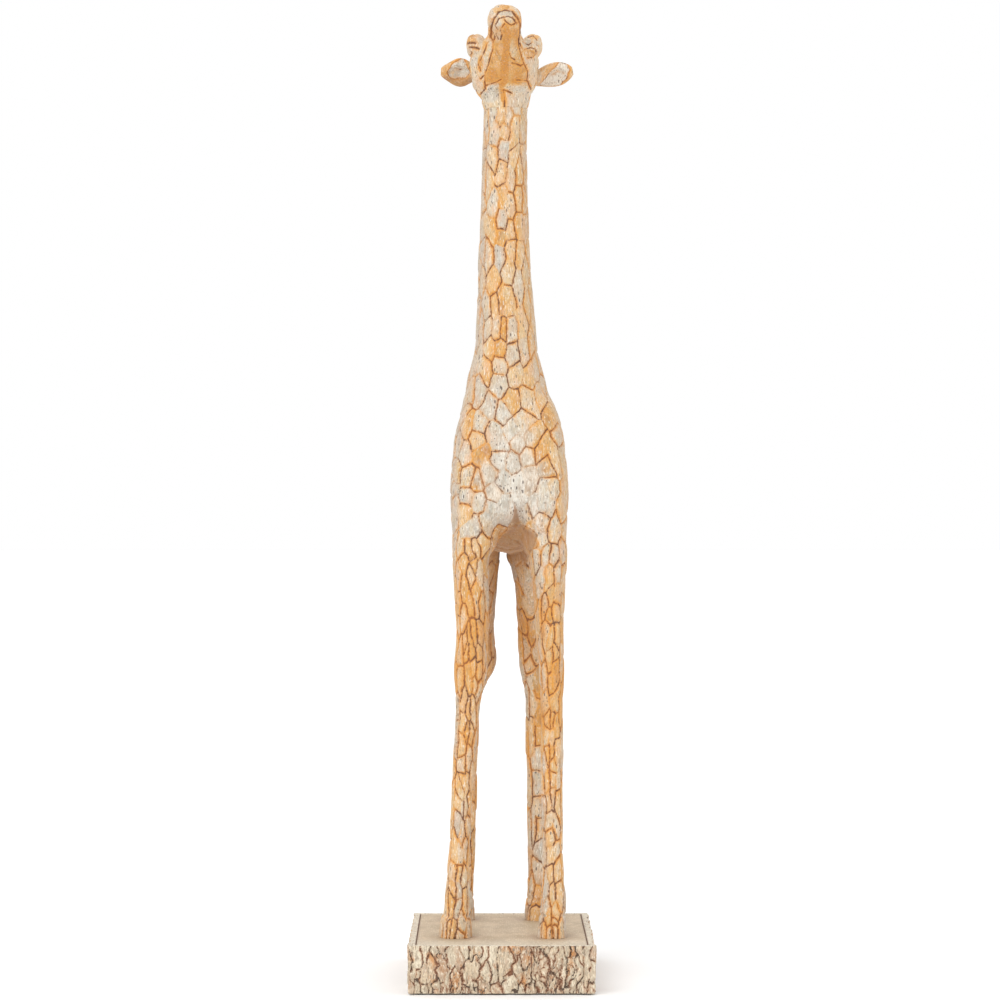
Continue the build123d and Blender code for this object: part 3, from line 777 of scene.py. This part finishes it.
def close_face(shape, rim, level, upward, place, hole):
    """Fills a level face within a rim, round a blind hole for a dowel or screw."""
    radius, depth = hole[0] + HOLE_GAP, hole[1]
    into = -1 if upward else 1
    turns = [2 * pi * i / HOLE_SIDES for i in range(HOLE_SIDES)]
    spots = [
        shape.verts.new(((place[0] + radius * cos(a)) * MM, (place[1] + radius * sin(a)) * MM, level * MM))
        for a in turns
    ]
    loop = [shape.edges.new(pair) for pair in zip(spots, spots[1:] + spots[:1])]
    bmesh.ops.triangle_fill(shape, edges=rim + loop, use_beauty=True, normal=(0, 0, -into))
    deep = [shape.verts.new(spot.co + Vector((0, 0, into * depth * MM))) for spot in spots]
    for i, spot in enumerate(spots):
        j = (i + 1) % len(spots)
        shape.faces.new((spot, spots[j], deep[j], deep[i]))
    shape.faces.new(deep)


def close_level(shape, level, upward, place, hole):
    close_face(shape, cut_level(shape, level, upward), level, upward, place, hole)


def close_torso_underside(shape):
    """Cuts the torso off at the leg joints and closes the four stumps, each with its hole."""
    rim = cut_level(shape, LEG_JOINT, upward=False)
    for leg in LEGS:
        place = leg_part("leg_dowels", leg)
        side, end = [place[k] < STUMP_SPLIT[k] for k in (0, 1)]
        own = [
            edge for edge in rim
            if (edge.verts[0].co.x / MM < STUMP_SPLIT[0]) == side
            and (edge.verts[0].co.y / MM < STUMP_SPLIT[1]) == end
        ]
        close_face(shape, own, LEG_JOINT, False, place, LEG_DOWEL)


def node_middle(node):
    low, high = corners(node)
    return (low + high) / 2


def leg_part(node, leg):
    """Middle of a leg's solid in a node of four, which is found by its end and its side."""
    points = cad_points(node)
    own = (points[:, 1] < points[:, 1].mean()) == leg.startswith("front")
    own &= (points[:, 0] > points[own, 0].mean()) == leg.endswith("left")
    return (points[own].min(0) + points[own].max(0)) / 2


def piece(mesh, name, material, nodes):
    """An object that rides on the frame in place of CAD nodes."""
    mesh.name = name
    mesh.materials.clear()
    mesh.materials.append(material)
    mesh.shade_smooth()
    made = bpy.data.objects.new(name, mesh)
    bpy.context.scene.collection.objects.link(made)
    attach(made, "root")
    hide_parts(*nodes)


def carved_piece(shape, node, wood):
    """Turns a cut shape into the piece that stands for a CAD node."""
    bmesh.ops.recalc_face_normals(shape, faces=shape.faces)
    mesh = bpy.data.meshes.new(node)
    shape.to_mesh(mesh)
    shape.free()
    piece(mesh, "carved_" + node, wood, [node])


def cut_body(mesh, wood):
    """Cuts the carved figure into its neck, torso and legs."""
    neck_pin, head_pin = node_middle("neck_dowel"), node_middle("head_dowel")
    shape = slab_of(mesh, NECK_JOINT, HEAD_JOINT)
    close_level(shape, NECK_JOINT, False, neck_pin, NECK_DOWEL)
    close_level(shape, HEAD_JOINT, True, head_pin, HEAD_DOWEL)
    carved_piece(shape, "neck", wood)

    shape = slab_of(mesh, LEG_JOINT, NECK_JOINT)
    close_level(shape, NECK_JOINT, True, neck_pin, NECK_DOWEL)
    close_torso_underside(shape)
    carved_piece(shape, "torso", wood)

    for leg in LEGS:
        low, high = corners(leg)
        shape = slab_of(mesh, PLINTH_TOP, LEG_JOINT, (low - 9, high + 9))
        close_level(shape, PLINTH_TOP, False, leg_part("hoof_screws", leg), HOOF_SCREW)
        close_level(shape, LEG_JOINT, True, leg_part("leg_dowels", leg), LEG_DOWEL)
        carved_piece(shape, leg, wood)


def cut_head(mesh, wood):
    shape = slab_of(mesh, HEAD_JOINT, CROWN + 20)
    close_level(shape, HEAD_JOINT, False, node_middle("head_dowel"), HEAD_DOWEL)
    carved_piece(shape, "head", wood)


# ---------------------------------------------------------------- ears, ossicones and tail
# Each ear on the elevation sheet: its root and its tip, the outline of its hollow, a crease, and
# how white the hollow is.
EARS = {
    "ear_right": (
        ((-22, 942), (-63, 944)),
        [(-55, 942.5), (-52.4, 949), (-45.7, 955), (-39.5, 959), (-36.3, 953), (-35.3, 947),
         (-33, 942), (-37.4, 937), (-44.5, 936.5), (-49.2, 934.6), (-53.5, 937)],
        ((-50, 944), (-47, 946), (-43, 944.5), (-39, 945.5)),
        0.4,
    ),
    "ear_left": (
        ((28, 933.5), (74, 944.5)),
        [(38.9, 929), (47.4, 938), (54.2, 946.5), (61, 953.5), (67.4, 951), (70.8, 944.5),
         (66.3, 934.3), (60, 928), (52.6, 926.3), (44.2, 927)],
        ((48.4, 938.5), (52.6, 939.6), (57.9, 942.8), (64.2, 941)),
        0.9,
    ),
}
# Ossicones and tail: (skin's face size, patch width, seed, whitewash, orange stain).
SMALL = {
    "ossicone_right": (0.55, 8, 71, 0.2, 0.5),
    "ossicone_left": (0.55, 8, 71, 0.2, 0.5),
    "tail": (0.6, 12, 81, 0.3, 0.45),
}


def ear(node):
    """A leaf with an orange rim and a whitewashed hollow."""
    (root, tip), hollow, fold, white = EARS[node]
    clay = skin_of([node], EAR_VOXEL)
    clay.relax(4)
    sheet = elevation(clay.points)
    root, tip = np.array(root, float), np.array(tip, float)
    along = (sheet - root) @ (tip - root) / ((tip - root) @ (tip - root))
    inner = inward(sheet, hollow) + 0.9 * noise(clay.points, 5, 63)
    front = smooth_step(-clay.normals()[:, 1], 0.1, 0.4)
    panel = smooth_step(inner, -0.4, 0.8) * front
    crease = away_from(sheet, fold) + 0.6 * noise(clay.points, 3, 64)
    streak = noise(clay.points, (9, 9, 1.6), 65)
    seam = np.where(front > 0.3, np.abs(inner) * 0.9 + 0.55, 6)
    seam = np.where((crease < 2.5) & (panel > 0.5), np.minimum(seam, crease * 0.9 + 0.7), seam)
    clay.marks["seam"] = seam
    shade = 0.5 * bump(sheet, tip * 0.8 + root * 0.2 - (0, 4), (6, 8))
    shade *= 0.6 + 0.4 * noise(clay.points, 6, 66)
    shade += (0.85 - 0.7 * white) * smooth_step(root[1] - 3 - sheet[:, 1], 0, 5)
    shade *= (1 - panel) * np.maximum(front, 0.7)
    clay.mark(
        tint=0.3 * white + 0.1 + 0.2 * streak + 0.3 * (along < 0.3) + (0.8 - 0.4 * white) * panel,
        wash=0.2 + white * panel + 0.2 * streak,
        orange=0.7 - 0.45 * white - 0.9 * panel + 0.3 * streak,
        shade=shade + 0.2 * (1 - front),
    )
    lines = 0.4 * fade(inner, 0.8) + 0.5 * fade(crease, 0.9) * panel
    clay.push(-0.8 * panel - lines * front + 0.14 * streak)
    return clay.finished()


def small_carving(node):
    """A small node in a fine skin with patches."""
    voxel, patch, seed, wash, orange = SMALL[node]
    clay = skin_of([node], voxel)
    clay.relax(3)
    places = (clay.points + 0.8 * drift(clay.points, 5, seed)) / patch
    scale = np.full((len(clay.points), 3), patch, np.float32)
    rise = worked(clay, places.astype(np.float32), scale, seed + 9, depth=0.5, pillow=0.35, tilt=0.2)
    clay.mark(
        wash=wash + 0.3 * noise(clay.points, 8, seed + 5),
        orange=orange + 0.3 * noise(clay.points, 10, seed + 6),
        shade=np.zeros(len(clay.points)),
    )
    clay.push(rise)
    return clay.finished()


# ---------------------------------------------------------------- plinth
# Bark slabs: (the way to the glued side, seed).
SLABS = {
    "bark_slab_front": ((0, 1, 0), 101),
    "bark_slab_back": ((0, -1, 0), 121),
    "bark_slab_right": ((1, 0, 0), 141),
    "bark_slab_left": ((-1, 0, 0), 161),
}
# Sizes of the bark's plates and of the flakes on them.
BARK_SIZES = ((9.0, 9.0, 27.0), (3.8, 3.8, 10.0))


def bark(node):
    """A bark slab: upright plates with deep cracks, on every side but the glued one."""
    glued, seed = SLABS[node]
    at_side = glued[0] != 0
    glued = np.array(glued, np.float32)
    clay = skin_of([node], BARK_VOXEL)
    points = clay.points
    facing = clay.normals().copy()
    outward = np.clip(-(facing @ glued), 0, 1)
    ends = np.abs(facing @ np.cross(glued, (0, 0, 1)).astype(np.float32)) * (not at_side)
    level = smooth_step(np.abs(facing[:, 2]), 0.3, 0.9)
    rough = np.maximum(outward, ends) * (1 - level)
    warp = drift(points, (13, 13, 26), seed) + 0.5 * drift(points, 5, seed + 3)
    draw = np.random.default_rng(seed + 8)
    gaps, lifts, tints = [], [], []
    for size in np.array(BARK_SIZES, np.float32):
        places = ((points + warp * 4.5) / size).astype(np.float32)
        seeds = scatter(places, seed + 7)
        owner, gap = patches(places, seeds, np.tile(size, (len(points), 1)))
        gaps.append(gap)
        lifts.append(draw.uniform(0, 1, len(seeds))[owner])
        tints.append(draw.uniform(0, 1, len(seeds))[owner])
    busy = smooth_step(noise(points, (34, 34, 40), seed + 11), -0.35, 0.25)
    sink = 3.0 * fade(gaps[0], 1.2) + 1.5 * fade(gaps[1], 0.8) * busy
    sink += 1.7 * (1 - lifts[0]) * smooth_step(gaps[0], 0, 2.5)
    sink += 1.3 * busy * (1 - lifts[1]) + 0.5 * np.abs(noise(points, (1.6, 1.6, 7), seed + 9))
    behind = points @ glued
    clay.marks["seam"] = np.minimum(gaps[0], gaps[1] + 0.3 + 6 * (1 - busy)).clip(0, FAR)
    clay.mark(
        tint=tints[0] * (1 - 0.6 * busy) + tints[1] * 0.6 * busy,
        rough=rough,
        # deep: how far the bark sinks, which the material darkens into painted shade.
        deep=sink / 6,
        glue=at_side * smooth_step(behind, behind.max() - 1.2, behind.max() - 0.6),
    )
    clay.push(1.6 * outward * (1 - level) - sink * rough)
    return clay.finished()


def block():
    """The plinth's core, sanded flat, with painted shade round the hooves and a glue line at the sides."""
    clay = skin_of(["base_block"], BLOCK_VOXEL)
    clay.relax(2)
    clay.push(0.12 * noise(clay.points, 14, 91) + 0.05 * noise(clay.points, 4, 92) - 0.15)
    x, y, _ = clay.points.T
    # Painted shade: the board darkens near each hoof.
    near = np.full(len(x), np.inf)
    for leg in LEGS:
        hoof_x, hoof_y = leg_middle(cad_points(leg), leg, PLINTH_TOP + 6)
        near = np.minimum(near, np.hypot(x - hoof_x, (y - hoof_y) / 1.2))
    reach = np.abs(x)
    clay.mark(
        painted_hoof_shade=1 - smooth_step(near, 17, 34),
        front=smooth_step(y, -74, -122),
        glue=smooth_step(reach, reach.max() - 1.0, reach.max() - 0.4),
    )
    return clay.finished()


# ---------------------------------------------------------------- materials
class Paint:
    """A material, short ways to add its nodes, and a colour that coats are laid over one by one."""

    def __init__(self, name, roughness):
        self.material = bpy.data.materials.new(name)
        self.material.use_nodes = True
        self.nodes = self.material.node_tree.nodes
        self.links = self.material.node_tree.links
        self.shader = self.nodes["Principled BSDF"]
        self.shader.inputs["Roughness"].default_value = roughness
        self.object = self.add("ShaderNodeTexCoord").outputs["Object"]
        self.colour = None

    def add(self, kind, fed=None, **settings):
        """Adds a node, sets it up, and feeds its sockets with values or other sockets."""
        node = self.nodes.new(kind)
        for key, value in settings.items():
            setattr(node, key, value)
        for socket, value in (fed or {}).items():
            self.feed(node.inputs[socket], value)
        return node

    def feed(self, socket, value):
        if isinstance(value, bpy.types.NodeSocket):
            self.links.new(value, socket)
        else:
            socket.default_value = value

    def mark(self, name):
        return self.add("ShaderNodeAttribute", attribute_name=name).outputs["Fac"]

    def math(self, operation, first, second):
        return self.add("ShaderNodeMath", {0: first, 1: second}, operation=operation).outputs[0]

    def plus(self, total, *others):
        for other in others:
            total = self.math("ADD", total, other)
        return total

    def times(self, product, *others):
        for other in others:
            product = self.math("MULTIPLY", product, other)
        return product

    def swing(self, value, size):
        """Noise that swings round 0, size times as far."""
        return self.times(self.math("SUBTRACT", value, 0.5), size)

    def span(self, value, low, high, new_low=0.0, new_high=1.0):
        """Maps low..high smoothly to new_low..new_high."""
        fed = dict(enumerate((value, low, high, new_low, new_high)))
        return self.add("ShaderNodeMapRange", fed, interpolation_type="SMOOTHSTEP").outputs[0]

    def space(self, stretch):
        """The object's own space, longer along an axis by its stretch."""
        mapping = self.add("ShaderNodeMapping", {"Vector": self.object})
        mapping.inputs["Scale"].default_value = [1 / s for s in stretch]
        return mapping.outputs[0]

    def noise(self, size, detail=3.0, stretch=(1, 1, 1)):
        """Noise whose features are about size millimetres, longer along an axis by its stretch."""
        fed = {"Vector": self.space(stretch), "Scale": 1 / (size * MM), "Detail": detail, "Roughness": 0.55}
        return self.add("ShaderNodeTexNoise", fed).outputs["Fac"]

    def flecks(self, size, width, stretch):
        """Separate specks, one in most cells of about size millimetres, from 0 to 1."""
        fed = {"Vector": self.space(stretch), "Scale": 1 / (size * MM)}
        cells = self.add("ShaderNodeTexVoronoi", fed)
        parts = self.add("ShaderNodeSeparateColor", {0: cells.outputs["Color"]})
        spot = self.span(cells.outputs["Distance"], width + 0.06, width - 0.04)
        return self.times(spot, self.span(parts.outputs[0], 0.35, 0.6))

    def mix(self, share, first, second):
        fed = {"Factor": share, 6: first, 7: second}
        return self.add("ShaderNodeMix", fed, data_type="RGBA", blend_type="MIX").outputs[2]

    def coat(self, colour, *shares):
        """Lays a colour over the ones below, as thickly as the product of the shares."""
        self.colour = self.mix(self.times(*shares), self.colour, colour)

    def ramp(self, value, *stops):
        node = self.add("ShaderNodeValToRGB", {0: value})
        for _ in stops[2:]:
            node.color_ramp.elements.new(0.5)
        for element, (place, colour) in zip(node.color_ramp.elements, stops):
            element.position = place
            element.color = colour
        self.colour = node.outputs[0]

    def bump(self, height, strength, distance, after=None):
        """Fine relief, over the relief that it comes after."""
        fed = {"Strength": strength, "Distance": distance * MM, "Height": height}
        if after is not None:
            fed["Normal"] = after
        return self.add("ShaderNodeBump", fed).outputs[0]

    def finish(self, normal=None):
        self.feed(self.shader.inputs["Base Color"], self.colour)
        if normal is not None:
            self.feed(self.shader.inputs["Normal"], normal)
        return self.material


def rgb(red, green, blue):
    return (red, green, blue, 1.0)


GLUE = rgb(0.17, 0.085, 0.045)


def carved_wood():
    """Whitewashed, orange-stained patches with brown lines between them."""
    paint = Paint("carved_wood", 0.6)
    tint, wash, orange, shade = map(paint.mark, ("tint", "wash", "orange", "shade"))
    grain = paint.noise(1.2, 4, (1, 1, 7))
    cloud = paint.noise(8, 4, (1, 1, 2))
    streak = paint.noise(2.4, 3, (1, 1, 4))
    broad = paint.noise(17, 2, (1, 1, 2))
    hue = paint.noise(11, 3, (1, 1, 2.4))
    seam = paint.plus(paint.mark("seam"), paint.swing(paint.noise(2.6, 2), 2.2))
    tone = paint.plus(tint, paint.swing(cloud, 1.1), paint.swing(streak, 0.6))
    paint.ramp(
        tone,
        (0.0, rgb(0.50, 0.23, 0.06)),
        (0.15, rgb(0.68, 0.35, 0.09)),
        (0.32, rgb(0.73, 0.43, 0.17)),
        (0.5, rgb(0.76, 0.53, 0.29)),
        (0.66, rgb(0.69, 0.53, 0.36)),
        (0.82, rgb(0.66, 0.58, 0.46)),
        (1.0, rgb(0.54, 0.50, 0.43)),
    )
    # Pink and olive clouds in the wood.
    paint.coat(rgb(0.74, 0.46, 0.31), paint.span(hue, 0.54, 0.66), 0.45)
    paint.coat(rgb(0.56, 0.48, 0.29), paint.span(hue, 0.46, 0.36), 0.35)
    # Orange stain, richest where there is most of it, and the whitewash.
    soaked = paint.math("MAXIMUM", paint.span(cloud, 0.42, 0.62), paint.span(orange, 0.65, 0.95))
    paint.coat(rgb(0.71, 0.32, 0.045), orange, soaked, 0.75)
    rich = paint.span(orange, 0.85, 1.0)
    paint.coat(rgb(0.60, 0.23, 0.03), rich, paint.span(streak, 0.35, 0.6, 0.25, 0.65))
    whiter = paint.math("MAXIMUM", paint.span(cloud, 0.35, 0.65), paint.span(wash, 0.8, 1.0, 0.0, 0.9))
    limed = paint.mix(whiter, rgb(0.47, 0.44, 0.38), rgb(0.79, 0.74, 0.65))
    damp = paint.plus(wash, paint.times(streak, 0.6))
    paint.coat(limed, paint.span(damp, 0.6, 1.0), 0.8)
    # A warm glow along the seams, weaker where the wood is white or grey.
    clean = paint.times(paint.span(wash, 0.35, 0.8, 1.0, 0.35), paint.span(tone, 0.72, 0.95, 1.0, 0.45))
    paint.coat(rgb(0.74, 0.38, 0.10), paint.span(seam, 5.5, 1.0), paint.span(hue, 0.40, 0.56), clean, 0.5)
    # Mottles in the stain, brown grain, scratches, cross checks and pale fibres.
    mottle = paint.span(paint.noise(1.3, 3, (1, 1, 1.6)), 0.50, 0.62)
    paint.coat(rgb(0.44, 0.16, 0.03), mottle, paint.span(orange, 0.55, 0.9), 0.42)
    paint.coat(rgb(0.40, 0.22, 0.10), paint.span(grain, 0.48, 0.72), 0.45)
    paint.coat(rgb(0.33, 0.22, 0.13), paint.span(paint.noise(0.8, 2, (1, 1, 5)), 0.54, 0.68), 0.5)
    paint.coat(rgb(0.36, 0.22, 0.12), paint.span(paint.noise(1.5, 2, (3, 3, 1)), 0.58, 0.68), 0.28)
    pale = paint.span(paint.noise(1.5, 3, (1, 1, 3.4)), 0.54, 0.68)
    paint.coat(rgb(0.91, 0.85, 0.73), pale, paint.span(orange, 0.3, 0.9, 1.0, 0.25), 0.6)
    # Dark flecks, most of them in the grey.
    large, small = paint.flecks(3.2, 0.22, (1, 1, 2.7)), paint.flecks(2.3, 0.18, (1, 1, 2.2))
    fleck = paint.math("MAXIMUM", large, small)
    grey = paint.span(tone, 0.25, 0.8, 0.3, 1.0)
    paint.coat(rgb(0.10, 0.07, 0.06), fleck, paint.span(broad, 0.35, 0.52), grey, 0.9)
    # The seam's own line, with an orange edge where the stain is hot.
    hot = paint.plus(broad, paint.times(orange, 0.12))
    paint.coat(rgb(0.76, 0.32, 0.03), paint.span(seam, 2.7, 0.8), paint.span(hot, 0.46, 0.56), clean, 0.75)
    paint.coat(rgb(0.50, 0.20, 0.06), paint.span(seam, 1.6, 0.6), clean, 0.6)
    ink = paint.mix(paint.span(hot, 0.51, 0.64), rgb(0.15, 0.06, 0.028), rgb(0.31, 0.10, 0.02))
    line = paint.times(paint.span(seam, 0.9, 0.35), paint.span(streak, 0.25, 0.5, 0.45, 0.95))
    paint.coat(ink, line, paint.span(wash, 0.4, 0.9, 1.0, 0.65))
    # Painted brown shade, where the skin was marked as lying in shade.
    paint.coat(rgb(0.31, 0.14, 0.062), shade, 0.8)
    relief = paint.bump(grain, 0.5, 0.8)
    return paint.finish(paint.bump(paint.noise(0.9, 2, (1, 1, 4)), 0.4, 0.4, relief))


def bark_wood():
    """Pale ridges over grey and rust, with dark cracks that fade on the sawn faces."""
    paint = Paint("bark", 0.8)
    tint, rough, deep, glue = map(paint.mark, ("tint", "rough", "deep", "glue"))
    cloud = paint.noise(7, 4, (1, 1, 1.8))
    fibre = paint.noise(1.0, 3, (1, 1, 4))
    rust = paint.noise(15, 3, (1, 1, 2.2))
    seam = paint.plus(paint.mark("seam"), paint.swing(paint.noise(2.2, 2), 3.0))
    paint.ramp(
        paint.plus(tint, paint.swing(cloud, 1.2)),
        (0.0, rgb(0.52, 0.31, 0.18)),
        (0.18, rgb(0.60, 0.46, 0.33)),
        (0.4, rgb(0.74, 0.60, 0.42)),
        (0.6, rgb(0.57, 0.47, 0.34)),
        (0.8, rgb(0.72, 0.62, 0.46)),
        (1.0, rgb(0.84, 0.74, 0.56)),
    )
    # Rust, dark and pale fibres, and black strands.
    paint.coat(rgb(0.64, 0.26, 0.06), paint.span(rust, 0.53, 0.64), rough, 0.75)
    paint.coat(rgb(0.28, 0.19, 0.13), paint.span(fibre, 0.47, 0.66), 0.55)
    paint.coat(rgb(0.92, 0.83, 0.66), paint.span(paint.noise(1.6, 2, (1, 1, 2.6)), 0.54, 0.66), 0.65)
    strand = paint.span(paint.noise(1.7, 2, (1, 1, 5)), 0.57, 0.64)
    paint.coat(rgb(0.15, 0.09, 0.06), strand, rough, paint.span(rust, 0.42, 0.56), 0.7)
    # Cracks with a rusty edge, and painted shade on the ground between the plates, darker where the bark
    # sinks deepest.
    paint.coat(rgb(0.46, 0.18, 0.07), paint.span(seam, 2.0, 0.6), paint.span(cloud, 0.42, 0.58), rough, 0.5)
    ink = paint.mix(paint.span(cloud, 0.42, 0.60), rgb(0.06, 0.036, 0.026), rgb(0.20, 0.08, 0.04))
    paint.coat(ink, paint.span(seam, 0.9, 0.35), paint.span(rough, 0.0, 0.5, 0.5, 1.0), 0.92)
    paint.coat(rgb(0.22, 0.13, 0.08), paint.span(deep, 0.5, 0.95), 0.4)
    # Sawn faces with specks, and the glue line.
    sawn = paint.span(rough, 0.35, 0.0)
    paint.coat(rgb(0.78, 0.72, 0.60), sawn, 0.7)
    paint.coat(rgb(0.24, 0.16, 0.11), paint.flecks(2.9, 0.36, (1, 1, 1)), sawn, 0.75)
    paint.coat(GLUE, glue, paint.span(fibre, 0.3, 0.5, 0.6, 1.0))
    return paint.finish(paint.bump(fibre, 0.8, 1.0))


def sanded_wood():
    """Limed board, whiter and more veined at the front, with painted shade round the hooves."""
    paint = Paint("plinth_wood", 0.6)
    front, painted_hoof_shade, glue = map(paint.mark, ("front", "painted_hoof_shade", "glue"))
    grain = paint.noise(1.0, 4, (1, 4, 1))
    cloud = paint.noise(24, 4, (1, 1.6, 1))
    paint.colour = rgb(0.48, 0.37, 0.24)
    paint.coat(rgb(0.61, 0.48, 0.33), paint.span(cloud, 0.35, 0.65))
    paint.coat(rgb(0.34, 0.25, 0.16), paint.span(grain, 0.45, 0.68), 0.45)
    paint.coat(rgb(0.74, 0.68, 0.56), front, 0.4)
    paint.coat(rgb(0.80, 0.71, 0.56), paint.flecks(2.2, 0.30, (1, 1.8, 1)), 0.7)
    paint.coat(rgb(0.36, 0.28, 0.20), paint.span(paint.noise(2.6, 3, (1, 2.2, 1)), 0.55, 0.66), front, 0.5)
    paint.coat(rgb(0.26, 0.18, 0.12), paint.flecks(2.9, 0.20, (1.6, 1, 1)), 0.45)
    # Painted shade round the hooves.
    paint.coat(rgb(0.32, 0.21, 0.14), painted_hoof_shade, paint.span(cloud, 0.38, 0.58), 0.55)
    paint.coat(GLUE, glue, paint.span(grain, 0.3, 0.5, 0.6, 1.0))
    return paint.finish(paint.bump(grain, 0.25, 0.35))


def felt():
    paint = Paint("felt", 0.95)
    nap = paint.noise(0.8, 4)
    paint.shader.inputs["Sheen Weight"].default_value = 0.4
    paint.colour = paint.mix(nap, rgb(0.05, 0.04, 0.035), rgb(0.12, 0.10, 0.085))
    return paint.finish(paint.bump(nap, 0.6, 0.4))


def steel():
    paint = Paint("steel", 0.35)
    worn = paint.noise(2.0, 3)
    paint.shader.inputs["Metallic"].default_value = 1.0
    paint.colour = paint.mix(worn, rgb(0.52, 0.50, 0.46), rgb(0.66, 0.65, 0.62))
    return paint.finish(paint.bump(worn, 0.1, 0.1))


def dowel_wood():
    paint = Paint("dowel_wood", 0.6)
    grain = paint.noise(1.0, 4, (1, 1, 14))
    paint.colour = paint.mix(paint.span(grain, 0.35, 0.7), rgb(0.62, 0.44, 0.26), rgb(0.74, 0.57, 0.37))
    return paint.finish(paint.bump(grain, 0.25, 0.3))


def dress(nodes, material):
    """Gives CAD nodes that keep their own shape a material."""
    for node in nodes:
        node_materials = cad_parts[node].data.materials
        node_materials.clear()
        node_materials.append(material)


# ---------------------------------------------------------------- stage
def stage():
    """Pale floor, soft lights and the camera."""
    scene = bpy.context.scene
    scene.view_settings.view_transform = "Standard"
    floor = bpy.data.meshes.new("floor")
    rim = [(x * FLOOR_REACH, y * FLOOR_REACH, 0) for x, y in ((-1, -1), (1, -1), (1, 1), (-1, 1))]
    floor.from_pydata(rim, [], [(0, 1, 2, 3)])
    ground = bpy.data.objects.new("floor", floor)
    scene.collection.objects.link(ground)
    paint = Paint("floor", 0.9)
    paint.colour = rgb(0.96, 0.96, 0.96)
    floor.materials.append(paint.finish())

    world = bpy.data.worlds.new("studio")
    world.use_nodes = True
    sky = world.node_tree.nodes["Background"]
    sky.inputs["Color"].default_value = rgb(1, 1, 1)
    sky.inputs["Strength"].default_value = 1.0
    scene.world = world

    sun = bpy.data.lights.new("sun", "SUN")
    sun.energy = 0.9
    sun.angle = radians(35)
    lamp = bpy.data.objects.new("sun", sun)
    lamp.rotation_euler = Vector((0.45, 0.85, -1.0)).to_track_quat("-Z", "Y").to_euler()
    scene.collection.objects.link(lamp)

    camera = bpy.data.cameras.new("camera")
    camera.lens = CAMERA_LENS
    camera.sensor_width = SENSOR_WIDTH
    camera.clip_start, camera.clip_end = 0.1, 100
    viewer = bpy.data.objects.new("camera", camera)
    viewer.location = Vector(CAMERA_PLACE) * MM
    viewer.rotation_euler = (radians(90), 0, radians(CAMERA_TURN))
    scene.collection.objects.link(viewer)
    scene.camera = viewer


# ---------------------------------------------------------------- all together
def build():
    stage()
    wood = carved_wood()
    cut_body(animal(), wood)
    cut_head(head(), wood)
    for node in EARS:
        piece(ear(node), "carved_" + node, wood, [node])
    for node in SMALL:
        piece(small_carving(node), "carved_" + node, wood, [node])
    piece(block(), "sanded_base_block", sanded_wood(), ["base_block"])
    ridged = bark_wood()
    for node in SLABS:
        piece(bark(node), "ridged_" + node, ridged, [node])
    dress(["base_felt"], felt())
    dress(["hoof_screws"], steel())
    dress(["leg_dowels", "neck_dowel", "head_dowel"], dowel_wood())


build()
